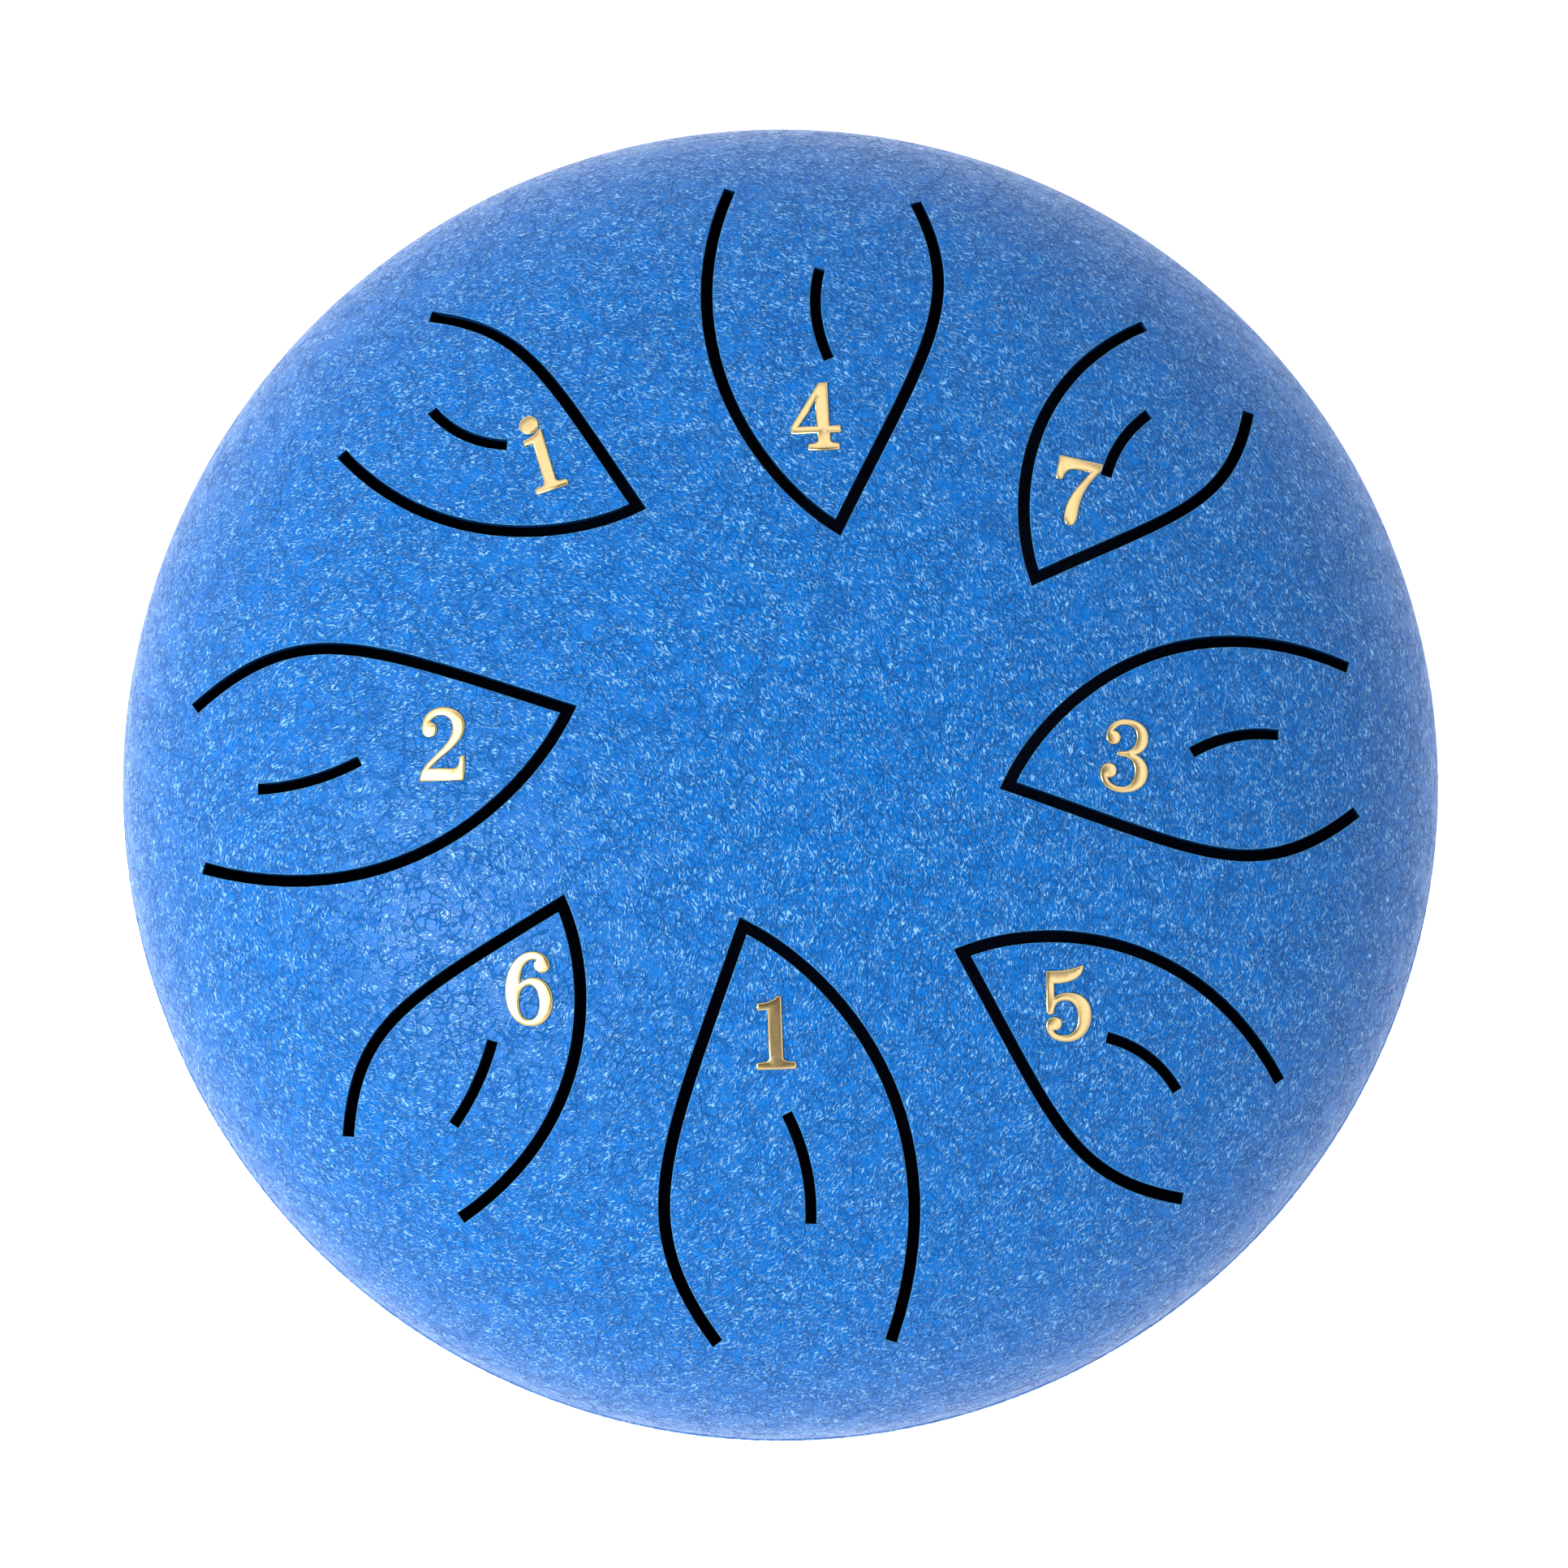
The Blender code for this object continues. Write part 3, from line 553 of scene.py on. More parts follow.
class Mesh:
    """Vertices with their normals and how far down a sawn edge they are, and faces with their slots."""

    def __init__(self):
        self.points, self.normals, self.faces, self.slots, self.sawn = [], [], [], [], []
        self.count = 0

    def add(self, points, normals, sawn=0.0):
        first = self.count
        self.points.append(points)
        self.normals.append(normals)
        self.sawn += [sawn] * len(points)
        self.count += len(points)
        return first

    def fill(self, faces, slot):
        self.faces += faces
        self.slots += [slot] * len(faces)

    def band(self, upper, lower, count, slot, wall=None, flip=False):
        """Quads between two closed rows of count points."""
        quads = []
        for i in range(count):
            if wall is None or wall[i]:
                j = (i + 1) % count
                quad = [upper + i, upper + j, lower + j, lower + i]
                quads.append(quad[::-1] if flip else quad)
        self.fill(quads, slot)

    def make(self, name, materials):
        """A smooth mesh object, without points that no face uses."""
        used = np.unique([i for face in self.faces for i in face])
        place = np.full(self.count, -1)
        place[used] = np.arange(len(used))
        mesh = bpy.data.meshes.new(name)
        faces = [[int(place[i]) for i in face] for face in self.faces]
        mesh.from_pydata(np.vstack(self.points)[used].tolist(), [], faces)
        for material in materials:
            mesh.materials.append(material)
        mesh.polygons.foreach_set("material_index", self.slots)
        if any(self.sawn):
            sawn = mesh.attributes.new("sawn", "FLOAT", "POINT")
            sawn.data.foreach_set("value", np.array(self.sawn)[used])
        mesh.shade_smooth()
        mesh.normals_split_custom_set_from_vertices(np.vstack(self.normals)[used].tolist())
        obj = bpy.data.objects.new(name, mesh)
        bpy.context.scene.collection.objects.link(obj)
        return obj


def area_sign(polygon):
    x, y = polygon.T
    return 1 if (x * np.roll(y, -1) - y * np.roll(x, -1)).sum() > 0 else -1


def pressed_sheet(name, bowl, outline, holes, coat, lining):
    """A sheet with both faces, and rounded walls round its outline and holes."""
    flat, triangles = filled(outline, holes)
    mesh = Mesh()
    outer, inner = mesh.add(*bowl.outer(flat)), mesh.add(*bowl.inner(flat))
    if bowl.side < 0:
        triangles = triangles[:, ::-1]
    mesh.fill((triangles + outer).tolist(), 0)
    mesh.fill((triangles[:, ::-1] + inner).tolist(), 1)
    start = 0
    for number, loop in enumerate((outline, *holes)):
        count = len(loop.edge)
        rows = edge_rows(bowl, loop)
        sawn = (mesh.add(*row, depth) for row, depth in zip(rows[1:-1], (0.5, 1.0, 1.0)))
        firsts = [outer + start, *sawn, inner + start]
        side = area_sign(loop.edge) * bowl.side * (-1 if number else 1)
        for upper, lower in zip(firsts, firsts[1:]):
            mesh.band(upper, lower, count, 0, loop.wall, flip=side > 0)
        start += count
    return mesh.make(name, [coat, lining])


# ---------------------------------------------------------------------------------------- the sheets

def make_top_shell(coat, lining):
    rim = ring_loop(np.zeros(2), DOME.arc_at_height(SEAM_EDGE), RIM_STEPS, 1)
    openings = [unrolled(DOME, opening_loop(tongue)) for tongue in TONGUES]
    shell = pressed_sheet("dome_sheet", DOME, rim, openings, coat, lining)
    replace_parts(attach(shell, BODY), "top_shell")


def bend_with(tongue, obj):
    """Works out where the tongue's bend runs, from the root line to near the tip, but only bakes the piece's
    transform.
    """
    root = sum(root_corner(tongue, side, 0) for side in (1, -1)) / 2
    tip = np.array(tongue.tip) * MM
    start, end = (root + (tip - root) * share for share in BEND_FROM_TO)
    places, _ = DOME.outer(DOME.unroll(np.array([start, end])))
    places[:, 2] = places[:, 2].mean()
    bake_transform(obj)


def make_tongue(tongue, coat, lining):
    outline, vein = (unrolled(DOME, loop(tongue)) for loop in (tongue_loop, vein_loop))
    name = "tongue_" + tongue.name
    sheet = pressed_sheet(name + "_sheet", DOME, outline, [vein], coat, lining)
    bend_with(tongue, sheet)
    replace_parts(sheet, name)


def foot_seat(angle):
    """Plan place of a foot on the lower bowl."""
    turn = math.radians(angle)
    return np.array([math.cos(turn), math.sin(turn)]) * FOOT_CIRCLE


def make_bottom_shell(coat, lining):
    rim = ring_loop(np.zeros(2), BASIN.arc_at_height(SEAM_EDGE), RIM_STEPS, 1)
    sound_hole = unrolled(BASIN, ring_loop(np.zeros(2), SOUND_HOLE_RADIUS, SOUND_HOLE_STEPS, -1))
    seats = [foot_seat(angle) for angle in FOOT_ANGLES]
    feet = [unrolled(BASIN, ring_loop(seat, FOOT_NECK_RADIUS, NECK_STEPS, -1)) for seat in seats]
    shell = pressed_sheet("basin_sheet", BASIN, rim, [sound_hole, *feet], coat, lining)
    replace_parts(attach(shell, BODY), "bottom_shell")


# ----------------------------------------------------------------------------------- turned pieces

def smooth_profile(points, rounding, steps=4):
    """The profile (radius, height) with each inner corner rounded off by up to rounding."""
    rounded = [points[0]]
    for before, corner, after in zip(points, points[1:], points[2:]):
        b, c, a = (np.array(p, float) for p in (before, corner, after))
        reach = [min(rounding, 0.45 * np.linalg.norm(p - c)) for p in (b, a)]
        enter = c + (b - c) / np.linalg.norm(b - c) * reach[0]
        leave = c + (a - c) / np.linalg.norm(a - c) * reach[1]
        for t in np.linspace(0, 1, steps + 1):
            rounded.append(tuple(enter * (1 - t) ** 2 + 2 * c * t * (1 - t) + leave * t * t))
    return np.array(rounded + [points[-1]])


def lathe(name, profile, steps, material, closed=False, wobble=None):
    """A turned piece. wobble gives a further radius for each turn (rows) and profile point (columns)."""
    turn = np.linspace(0, 2 * math.pi, steps, endpoint=False)
    spoke = np.column_stack([np.cos(turn), np.sin(turn)])
    along = np.roll(profile, -1, axis=0) - np.roll(profile, 1, axis=0)
    if not closed:
        along = np.gradient(profile, axis=0)
    outwards = unit(np.column_stack([-along[:, 1], along[:, 0]]))
    mesh, rows = Mesh(), []
    for i, (radius, height) in enumerate(profile):
        reach = radius + (0 if wobble is None else wobble(turn, i))
        points = np.column_stack([spoke * np.reshape(reach, (-1, 1)), np.full(steps, height)])
        normals = np.column_stack([spoke * outwards[i, 0], np.full(steps, outwards[i, 1])])
        rows.append(mesh.add(points, normals))
    for upper, lower in zip(rows, rows[1:] + rows[:1] if closed else rows[1:]):
        mesh.band(upper, lower, steps, 0, flip=True)
    if not closed:
        mesh.fill([list(range(rows[0], rows[0] + steps))], 0)
        mesh.fill([list(range(rows[-1], rows[-1] + steps))[::-1]], 0)
    return mesh.make(name, [material])


def make_weld_seam(coat):
    """The ground weld under the coat: a low bead with faint ripples."""
    bulge = [(RIM_RADIUS + BEAD_RISE * math.cos(t) ** 2, BEAD_HALF * math.sin(t))
             for t in np.linspace(math.pi / 2, -math.pi / 2, BEAD_STEPS)]
    bulge[0] = (RIM_RADIUS - BEAD_SUNK, BEAD_HALF)
    bulge[-1] = (RIM_RADIUS - BEAD_SUNK, -BEAD_HALF)
    inside_line = [(RIM_RADIUS - SHEET, -SEAM_EDGE), (RIM_RADIUS - SHEET, SEAM_EDGE)]

    def ripple(turn, i):
        if not 1 < i < BEAD_STEPS - 2:
            return 0
        share, pace, phase = BEAD_SECOND_WAVE
        waves = np.sin(BEAD_WAVES * turn) + share * np.sin(pace * BEAD_WAVES * turn + phase)
        return BEAD_RIPPLE * waves

    seam = lathe("weld_bead", np.array(bulge + inside_line), 4 * BEAD_WAVES, coat, True, ripple)
    seam.location.z = RIM_HEIGHT
    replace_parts(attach(seam, BODY), "weld_seam")


# --------------------------------------------------------------------------------------- rubber feet

def foot_matrix(angle):
    """Foot's frame at its seat on the lower bowl: +Z into the drum, square to the sheet."""
    points, normals = BASIN.outer(BASIN.unroll(foot_seat(angle)[None]))
    into = Vector(-normals[0])
    side = Vector((-math.sin(math.radians(angle)), math.cos(math.radians(angle)), 0))
    rotation = Matrix((side.cross(into), side, into)).transposed().to_4x4()
    return Matrix.Translation(points[0]) @ rotation


def foot_profile():
    """From the tip of the barb inside the drum, over the neck, down the ringed pad to below the ground."""
    neck = [
        (0.05 * MM, SHEET + 5 * MM), (1.6 * MM, SHEET + 4.8 * MM), (2.6 * MM, SHEET + 4 * MM),
        (FOOT_BARB_RADIUS, SHEET + 1.2 * MM), (FOOT_BARB_RADIUS, SHEET + 0.1 * MM),
        (FOOT_NECK_RADIUS, SHEET + 0.1 * MM), (FOOT_NECK_RADIUS, 0.2 * MM),
    ]
    pad = [
        (FOOT_PAD_RADIUS - 0.6 * MM, 0.35 * MM), (FOOT_PAD_RADIUS, -0.5 * MM),
        (FOOT_PAD_RADIUS, -1.7 * MM), (FOOT_PAD_RADIUS - 0.5 * MM, -2.0 * MM),
        (FOOT_PAD_RADIUS - 0.5 * MM, -2.3 * MM), (FOOT_PAD_RADIUS - 0.1 * MM, -2.6 * MM),
        (FOOT_PAD_RADIUS - 0.6 * MM, -6.5 * MM), (FOOT_PAD_RADIUS - 1.6 * MM, -8.5 * MM),
        (0.05 * MM, -14 * MM),
    ]
    return smooth_profile(neck + pad, FOOT_ROUND)


def make_foot(number, angle, rubber):
    """A push-in bumper, worn flat where it stands."""
    foot = lathe(f"foot_{number}_rubber", foot_profile(), FOOT_STEPS, rubber)
    foot.data.transform(foot_matrix(angle))
    shape = bmesh.new()
    shape.from_mesh(foot.data)
    cut = bmesh.ops.bisect_plane(
        shape, geom=[*shape.verts, *shape.edges, *shape.faces], dist=1e-7,
        plane_co=(0, 0, 0), plane_no=(0, 0, 1), clear_inner=True,
    )
    border = [e for e in cut["geom_cut"] if isinstance(e, bmesh.types.BMEdge)]
    sole = bmesh.ops.edgeloop_fill(shape, edges=border)["faces"]
    bmesh.ops.bevel(shape, geom=[e for f in sole for e in f.edges], offset=SOLE_ROUND, segments=2,
                    affect="EDGES", profile=0.5)
    bmesh.ops.recalc_face_normals(shape, faces=shape.faces)
    shape.to_mesh(foot.data)
    shape.free()
    if "custom_normal" in foot.data.attributes:
        foot.data.attributes.remove(foot.data.attributes["custom_normal"])
    foot.data.shade_smooth()
    foot.data.set_sharp_from_angle(angle=FOOT_SHARP)
    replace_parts(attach(foot, BODY), f"foot_{number}")


# -------------------------------------------------------------------------------------- gold numerals

def digit_contours(glyph, scale, rise):
    """The glyph's contours in metres, stretched by scale (x, y) and raised by rise glyph units."""
    contours = []
    for start, *segments in DIGITS[glyph]:
        points = [np.array(start, float)]
        for segment in segments:
            if len(segment) == 1:
                points.append(np.array(segment[0], float))
            else:
                points += list(cubic(points[-1], *segment, DIGIT_STEPS))
        if np.linalg.norm(points[-1] - points[0]) < 0.1:
            points.pop()
        contours.append((np.array(points) * scale + (0, rise)) * GLYPH_UNIT)
    return contours


def dot_contour():
    turn = np.linspace(0, 2 * math.pi, 6 * DIGIT_STEPS, endpoint=False)
    spoke = np.column_stack([np.cos(turn), np.sin(turn)])
    return (np.array(DOT_CENTRE) + spoke * DOT_RADIUS) * GLYPH_UNIT


def sticker_loop(contour, is_hole):
    """The contour with its bevel's inner line, which lies inside the metal."""
    into = area_sign(contour) * (-1 if is_hole else 1)
    along = unit(np.roll(contour, -1, axis=0) - contour)
    before = np.roll(along, 1, axis=0)
    left = np.column_stack([-along[:, 1], along[:, 0]])
    left_before = np.column_stack([-before[:, 1], before[:, 0]])
    middle = unit(left + left_before)
    reach = 1 / np.maximum((middle * left).sum(axis=1), MITRE_LIMIT)
    inset = contour + middle * reach[:, None] * into * STICKER_EDGE
    return Loop(contour, untangled(contour, inset))


def untangled(edge, inset):
    """The inset line with its points in the edge's order, where a tight curve would cross them over."""
    steps = np.roll(edge, -1, axis=0) - edge
    for _ in range(UNTANGLE_ROUNDS):
        crossed = ((np.roll(inset, -1, axis=0) - inset) * steps).sum(axis=1) <= 0
        for i in np.flatnonzero(crossed):
            j = (i + 1) % len(edge)
            middle, step = (inset[i] + inset[j]) / 2, UNTANGLE_STEP * steps[i]
            inset[i], inset[j] = middle - step, middle + step
    return inset


class Seat:
    """Where a sticker lies: its plan place, and its axes to the right, up (towards +Y) and out."""

    def __init__(self, tongue):
        points, normals = DOME.outer(DOME.unroll(np.array([tongue.numeral]) * MM))
        normal = Vector(normals[0])
        up = (Vector((0, 1, 0)) - normal * normal.y).normalized()
        turn = Matrix.Rotation(math.radians(tongue.slant), 3, normal)
        self.point = points[0]
        self.axes = np.array([turn @ up.cross(normal), turn @ up])

    def place(self, flat, lift, outwards=None, lean=0):
        """Points lifted off the dome, with normals that lean outwards by an angle."""
        plan = (self.point + flat @ self.axes)[:, :2]
        points, normals = DOME.outer(DOME.unroll(plan))
        points = points + normals * lift
        if outwards is not None:
            normals = unit(outwards @ self.axes * math.sin(lean) + normals * math.cos(lean))
        return points, normals


def make_sticker(name, contours, tongue, gold):
    loops = [sticker_loop(contour, i > 0) for i, contour in enumerate(contours)]
    flat, triangles = filled(loops[0], loops[1:], GLYPH_GRID)
    seat, mesh = Seat(tongue), Mesh()
    rims = np.vstack([unit(loop.edge - loop.inset) for loop in loops])
    leans = np.zeros_like(flat)
    leans[:len(rims)] = rims * math.tan(STICKER_CROWN)
    points, normals = seat.place(flat, STICKER)
    cap = mesh.add(points, unit(normals + leans @ seat.axes))
    mesh.fill((triangles + cap).tolist(), 0)
    start, side_height = cap, STICKER - STICKER_EDGE
    for number, loop in enumerate(loops):
        outwards = unit(loop.edge - loop.inset)
        rows = [start]
        for lean in np.linspace(STICKER_CROWN, math.pi / 2, STICKER_ROWS + 1)[1:]:
            line = loop.inset + (loop.edge - loop.inset) * math.sin(lean)
            lift = side_height + STICKER_EDGE * math.cos(lean)
            rows.append(mesh.add(*seat.place(line, lift, outwards, lean)))
        rows.append(mesh.add(*seat.place(loop.edge, -STICKER_SUNK, outwards, math.pi / 2)))
        flip = area_sign(loop.edge) * (-1 if number else 1) > 0
        for upper, lower in zip(rows, rows[1:]):
            mesh.band(upper, lower, len(loop.edge), 0, flip=flip)
        start += len(loop.edge)
    sticker = mesh.make(name + "_sticker", [gold])
    bend_with(tongue, sticker)
    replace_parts(sticker, name)


def make_numeral(tongue, gold):
    high = tongue.name == "1_high"
    scale, rise = (HIGH_SCALE, HIGH_BASELINE) if high else ((1, 1), 0)
    make_sticker("numeral_" + tongue.name, digit_contours(tongue.glyph, scale, rise), tongue, gold)
    if high:
        make_sticker("numeral_1_high_dot", [dot_contour()], tongue, gold)


# ------------------------------------------------------------------------------------------ materials

def add(tree, kind, inputs=(), **settings):
    """A node with its settings and inputs. An input is a value, or the socket that it is linked to."""
    node = tree.nodes.new("ShaderNode" + kind)
    for key, value in settings.items():
        setattr(node, key, value)
    for key, value in dict(inputs).items():
        if isinstance(value, bpy.types.NodeSocket):
            tree.links.new(value, node.inputs[key])
        else:
            node.inputs[key].default_value = value
    return node


def new_material(name, **constants):
    """A material with its tree, its shader and the place on the object in millimetres."""
    material = bpy.data.materials.new(name)
    material.use_nodes = True
    tree = material.node_tree
    shader = tree.nodes["Principled BSDF"]
    for key, value in constants.items():
        shader.inputs[key.replace("_", " ")].default_value = value
    at = add(tree, "TexCoord").outputs["Object"]
    in_mm = add(tree, "VectorMath", {0: at, "Scale": 1 / MM}, operation="SCALE").outputs[0]
    return material, tree, shader, in_mm


def calc(tree, operation, a, b=0.0, clamp=False):
    return add(tree, "Math", {0: a, 1: b}, operation=operation, use_clamp=clamp).outputs[0]


def noise(tree, place, scale, detail=2.0, roughness=0.5):
    inputs = {"Vector": place, "Scale": scale, "Detail": detail, "Roughness": roughness}
    return add(tree, "TexNoise", inputs)


def ramp(tree, value, low, high, to_low=0.0, to_high=1.0):
    inputs = {"Value": value, "From Min": low, "From Max": high, "To Min": to_low, "To Max": to_high}
    return add(tree, "MapRange", inputs, interpolation_type="SMOOTHSTEP").outputs[0]


def blend_colour(tree, share, a, b):
    node = add(tree, "Mix", data_type="RGBA")
    for socket, value in ((node.inputs[0], share), (node.inputs[6], a), (node.inputs[7], b)):
        if isinstance(value, bpy.types.NodeSocket):
            tree.links.new(value, socket)
        else:
            socket.default_value = (*value, 1)
    return node.outputs[2]


def vec(tree, operation, a, b, c=(0, 0, 0)):
    return add(tree, "VectorMath", {0: a, 1: b, 2: c}, operation=operation).outputs[0]


def wobbled(tree, start, place, scale, detail):
    """The start place, moved about by a noise that is read at another place."""
    cloud = noise(tree, place, scale, detail).outputs["Color"]
    shift = vec(tree, "SUBTRACT", cloud, (0.5, 0.5, 0.5))
    return vec(tree, "MULTIPLY_ADD", shift, (GRAIN_WOBBLE,) * 3, start)


def wrinkles(tree, place, patch, length, width):
    """Short fine wrinkles, side by side in patches, round the key light's reflection at a point left of the
    middle.
    """
    cells = add(tree, "TexVoronoi", {"Vector": place, "Scale": 1 / patch})
    centre, colour = cells.outputs["Position"], cells.outputs["Color"]
    arm = add(tree, "SeparateXYZ", {0: vec(tree, "SUBTRACT", centre, HIGHLIGHT_CENTRE)})
    heading = calc(tree, "ARCTAN2", arm.outputs["Y"], arm.outputs["X"])
    red = add(tree, "SeparateColor", {0: colour}).outputs[0]
    stray = ramp(tree, red, 0, 1, -WRINKLE_STRAY, WRINKLE_STRAY)
    angle = calc(tree, "SUBTRACT", calc(tree, "ADD", stray, math.pi / 2), heading)
    local = vec(tree, "SUBTRACT", place, centre)
    turned = add(tree, "VectorRotate", {"Vector": local, "Angle": angle}, rotation_type="Z_AXIS")
    stretched = vec(tree, "MULTIPLY", turned.outputs[0], (1 / length, 1 / width, 1 / (2 * width)))
    apart = vec(tree, "MULTIPLY_ADD", colour, (PATCH_SPREAD,) * 3, stretched)
    return noise(tree, apart, 1.0, 0.5).outputs[0]


def creases(tree, place, moved):
    """Network of dull creases round small cells, with longer ones across it. Its mask also paints shade into
    them.
    """
    wavy = wobbled(tree, moved, place, 2.2, 1.0)
    lines = []
    for cell, width, depth in CREASE_NETS:
        edges = {"Vector": wavy, "Scale": 1 / cell}
        off = add(tree, "TexVoronoi", edges, feature="DISTANCE_TO_EDGE").outputs[0]
        lines.append(ramp(tree, off, 0.0, width, depth, 0.0))
    worn = ramp(tree, noise(tree, place, 0.3, 2.0).outputs[0], *WORN_RAMP)
    return calc(tree, "MULTIPLY", calc(tree, "MAXIMUM", *lines), worn)


def grain_colour(tree, place, ridge, stroke, crease_and_shade):
    """Painted shade: deep blue between the wrinkles and dark in the creases. Lilac along the crests, with
    painted glints.
    """
    body = blend_colour(tree, ramp(tree, ridge, *BODY_RAMP), COAT_TROUGH_SHADE, COAT_BLUE)
    bright = ramp(tree, noise(tree, place, 0.9, 1.0).outputs[0], *BRIGHT_RAMP)
    grain_and_glints = blend_colour(tree, calc(tree, "MULTIPLY", stroke, bright), body, COAT_LILAC_GLINT)
    return blend_colour(tree, calc(tree, "MULTIPLY", crease_and_shade, CREASE_SHADE_SHARE), grain_and_glints, COAT_CREASE_SHADE)


def with_painted_edge_light(tree, grained):
    """The coat's colour with a painted highlight round the corner of a slit and painted shade down its wall.
    """
    sawn = add(tree, "Attribute", attribute_name="sawn").outputs["Fac"]
    edge_highlight = calc(tree, "MULTIPLY", ramp(tree, sawn, 0.1, 0.5), EDGE_HIGHLIGHT_SHARE)
    with_edge_highlight = blend_colour(tree, edge_highlight, grained, COAT_EDGE_HIGHLIGHT)
    return blend_colour(tree, ramp(tree, sawn, 0.5, 0.85), with_edge_highlight, COAT_WALL_SHADE)


def coat_material():
    """Blue leather-grain coat: wrinkles with painted lilac glints on painted deep-blue shade, mottled,
    painted shade in creases.
    """
    material, tree, shader, place = new_material("blue_coat_grain_painted_light", Specular_IOR_Level=COAT_SPECULAR)
    moved = wobbled(tree, place, place, 0.8, 2.0)
    ridge = calc(tree, "MAXIMUM", *(wrinkles(tree, moved, *size) for size in WRINKLE_SIZES))
    mottle = ramp(tree, noise(tree, place, 0.5, 3.0, 0.6).outputs[0], *MOTTLE_RAMP)
    stroke = calc(tree, "MULTIPLY", ramp(tree, ridge, *STROKE_RAMP), mottle)
    crease_and_shade = creases(tree, place, moved)
    colour = with_painted_edge_light(tree, grain_colour(tree, place, ridge, stroke, crease_and_shade))
    tree.links.new(colour, shader.inputs["Base Color"])
    gloss = ramp(tree, stroke, 0, 1, COAT_ROUGHNESS, STROKE_ROUGHNESS)
    dull = calc(tree, "ADD", gloss, calc(tree, "MULTIPLY", crease_and_shade, CREASE_DULLNESS))
    tree.links.new(dull, shader.inputs["Roughness"])
    relief = calc(tree, "SUBTRACT", stroke, calc(tree, "MULTIPLY", crease_and_shade, CREASE_RELIEF))
    bump = add(tree, "Bump", {"Height": relief, "Strength": 1.0, "Distance": COAT_RELIEF})
    tree.links.new(bump.outputs[0], shader.inputs["Normal"])
    return material


def lining_material():
    """Inside of the bowls: dark blue-black, a little metallic, a painted shade that keeps the slits near
    black.
    """
    material, tree, shader, place = new_material("dark_lining_painted_shade", Metallic=0.2)
    cloud = noise(tree, place, 0.3, 4.0, 0.6).outputs[0]
    tree.links.new(blend_colour(tree, cloud, LINING_DEEP, LINING_BLUE), shader.inputs["Base Color"])
    tree.links.new(ramp(tree, cloud, 0.2, 0.8, 0.55, 0.75), shader.inputs["Roughness"])
    grain = noise(tree, place, 4.0, 3.0).outputs[0]
    bump = add(tree, "Bump", {"Height": grain, "Strength": 0.4, "Distance": 0.05 * MM})
    tree.links.new(bump.outputs[0], shader.inputs["Normal"])
    return material


def gold_material():
    """Polished gold foil with faint unevenness."""
    material, tree, shader, place = new_material("gold_foil_polished", Metallic=1.0)
    cloud = noise(tree, place, 0.8, 3.0).outputs[0]
    tree.links.new(blend_colour(tree, cloud, GOLD_DEEP, GOLD_LIGHT), shader.inputs["Base Color"])
    tree.links.new(ramp(tree, cloud, 0.3, 0.7, 0.12, 0.2), shader.inputs["Roughness"])
    uneven = noise(tree, place, 1.4, 2.0).outputs[0]
    bump = add(tree, "Bump", {"Height": uneven, "Strength": 0.2, "Distance": 0.008 * MM})
    tree.links.new(bump.outputs[0], shader.inputs["Normal"])
    return material


def rubber_material():
    """Matt black rubber with a fine grain and dust."""
    material, tree, shader, place = new_material("black_rubber_matt", Specular_IOR_Level=0.35)
    dust = ramp(tree, noise(tree, place, 0.9, 4.0, 0.65).outputs[0], 0.5, 0.75)
    tree.links.new(blend_colour(tree, dust, RUBBER_BLACK, RUBBER_DUST), shader.inputs["Base Color"])
    tree.links.new(ramp(tree, dust, 0.0, 1.0, 0.6, 0.85), shader.inputs["Roughness"])
    grain = noise(tree, place, 7.0, 3.0).outputs[0]
    bump = add(tree, "Bump", {"Height": grain, "Strength": 0.4, "Distance": 0.05 * MM})
    tree.links.new(bump.outputs[0], shader.inputs["Normal"])
    return material


# ---------------------------------------------------------------------------------------------- studio

def floor_material():
    """Pale card with a painted glow round the drum that lifts its shadow, clear seen from under it."""
    material, tree, shader, place = new_material("pale_card_painted_glow", Roughness=0.9, Specular_IOR_Level=0.2)
    reach = add(tree, "VectorMath", {0: place}, operation="LENGTH").outputs["Value"]
    shader.inputs["Emission Color"].default_value = (1, 1, 1, 1)
    tree.links.new(ramp(tree, reach, *PAINTED_GLOW_FROM_TO, 0.0, PAINTED_GLOW), shader.inputs["Emission Strength"])
    shade = noise(tree, place, 0.02, 2.0).outputs[0]
    tree.links.new(blend_colour(tree, shade, CARD_GREY, CARD_WHITE), shader.inputs["Base Color"])
    clear = add(tree, "BsdfTransparent").outputs[0]
    back = add(tree, "NewGeometry").outputs["Backfacing"]
    sides = add(tree, "MixShader", {0: back, 1: shader.outputs[0], 2: clear})
    tree.links.new(sides.outputs[0], tree.nodes["Material Output"].inputs["Surface"])
    return material


def make_floor():
    mesh = bpy.data.meshes.new("floor")
    corners = [(-1, -1), (1, -1), (1, 1), (-1, 1)]
    points = [(x * FLOOR_REACH, y * FLOOR_REACH, -FLOOR_DROP) for x, y in corners]
    mesh.from_pydata(points, [], [(0, 1, 2, 3)])
    mesh.materials.append(floor_material())
    floor = bpy.data.objects.new("floor", mesh)
    bpy.context.scene.collection.objects.link(floor)


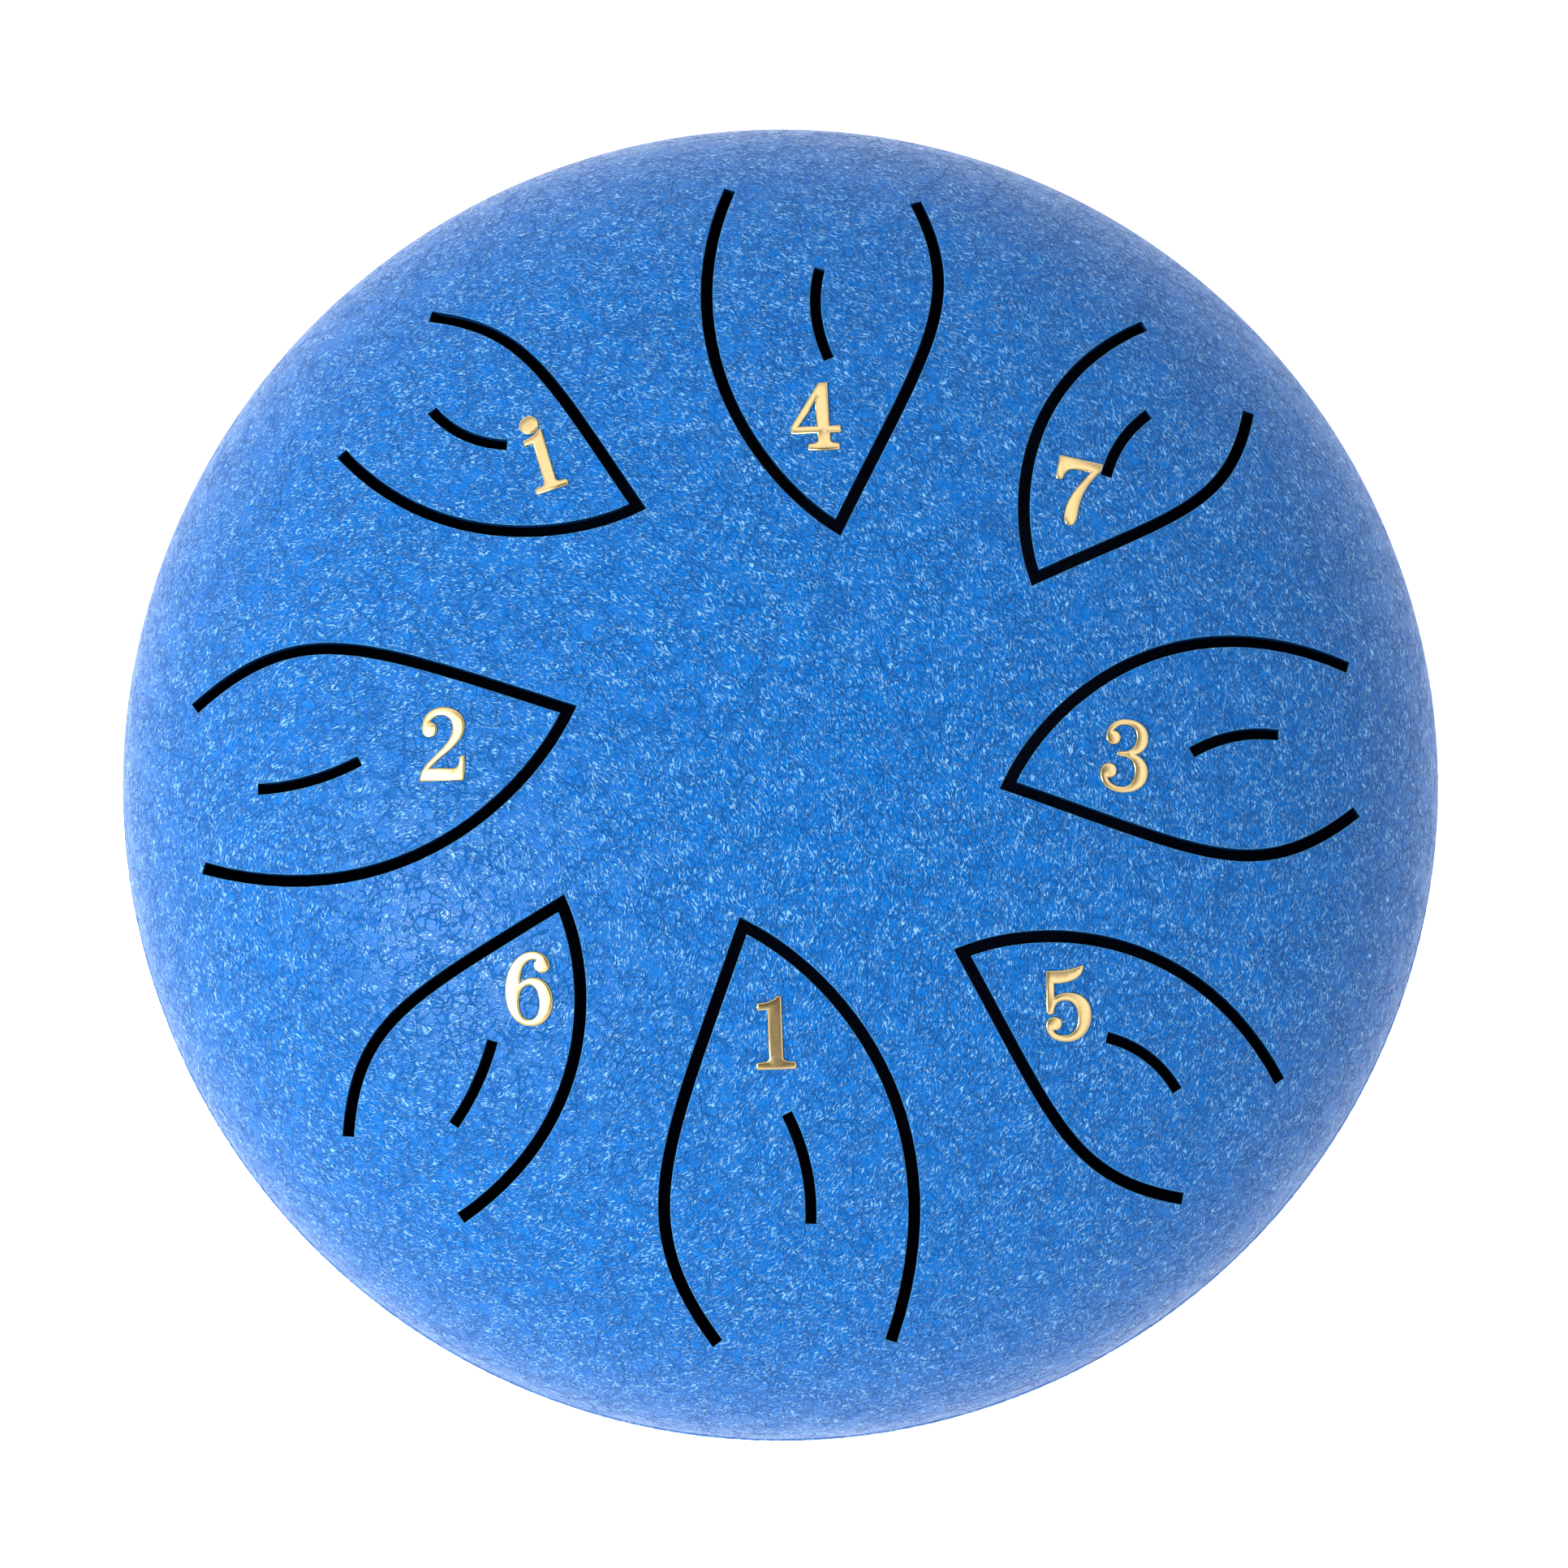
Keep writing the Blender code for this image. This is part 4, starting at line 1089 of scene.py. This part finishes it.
def soft_box(name, azimuth, off_vertical, distance, size, radiance):
    """A square soft light that faces the drum, out of the camera's sight."""
    light = bpy.data.lights.new(name, "AREA")
    light.shape = "RECTANGLE"
    light.size, light.size_y = size
    light.energy = radiance * math.pi * size[0] * size[1]
    obj = bpy.data.objects.new(name, light)
    turn, tilt = math.radians(azimuth), math.radians(off_vertical)
    back = Vector((math.sin(tilt) * math.cos(turn), math.sin(tilt) * math.sin(turn), math.cos(tilt)))
    obj.location = Vector((0, 0, RIM_HEIGHT)) + back * distance
    obj.rotation_euler = back.to_track_quat("Z", "Y").to_euler()
    obj.visible_camera = False
    bpy.context.scene.collection.objects.link(obj)


def sky_strength(tree):
    """A soft even dome of light that dims overhead, where the camera stands."""
    towards = add(tree, "TexCoord").outputs["Generated"]
    height = add(tree, "SeparateXYZ", {0: towards}).outputs["Z"]
    sky = add(tree, "ValToRGB", {"Fac": height})
    stops = sky.color_ramp.elements
    for place, _ in SKY[1:-1]:
        stops.new(place)
    for stop, (_, level) in zip(stops, SKY):
        stop.color = (level, level, level, 1)
    return sky.outputs[0]


def make_light():
    world = bpy.data.worlds.new("studio")
    world.use_nodes = True
    tree = world.node_tree
    background = tree.nodes["Background"]
    background.inputs["Color"].default_value = (1, 1, 1, 1)
    tree.links.new(sky_strength(tree), background.inputs["Strength"])
    bpy.context.scene.world = world
    for name, box in SOFT_BOXES.items():
        soft_box(name, *box)
    bpy.context.scene.view_settings.view_transform = "Standard"


def make_camera():
    camera = bpy.data.cameras.new("camera")
    camera.lens, camera.sensor_width = CAMERA_LENS, 36
    camera.shift_x, camera.shift_y = CAMERA_SHIFT
    obj = bpy.data.objects.new("camera", camera)
    tilt = math.radians(CAMERA_ELEVATION)
    back = Vector((0, -math.cos(tilt), math.sin(tilt)))
    obj.location = Vector((0, 0, RIM_HEIGHT)) + back * CAMERA_DISTANCE
    obj.rotation_euler = (math.radians(90 - CAMERA_ELEVATION), 0, 0)
    bpy.context.scene.collection.objects.link(obj)
    bpy.context.scene.camera = obj


# ------------------------------------------------------------------------------------------------ main


def main():
    coat, lining = coat_material(), lining_material()
    gold, rubber = gold_material(), rubber_material()
    make_camera()
    make_light()
    make_floor()
    make_top_shell(coat, lining)
    make_bottom_shell(coat, lining)
    make_weld_seam(coat)
    for tongue in TONGUES:
        make_tongue(tongue, coat, lining)
        make_numeral(tongue, gold)
    for number, angle in enumerate(FOOT_ANGLES, 1):
        make_foot(number, angle, rubber)


main()
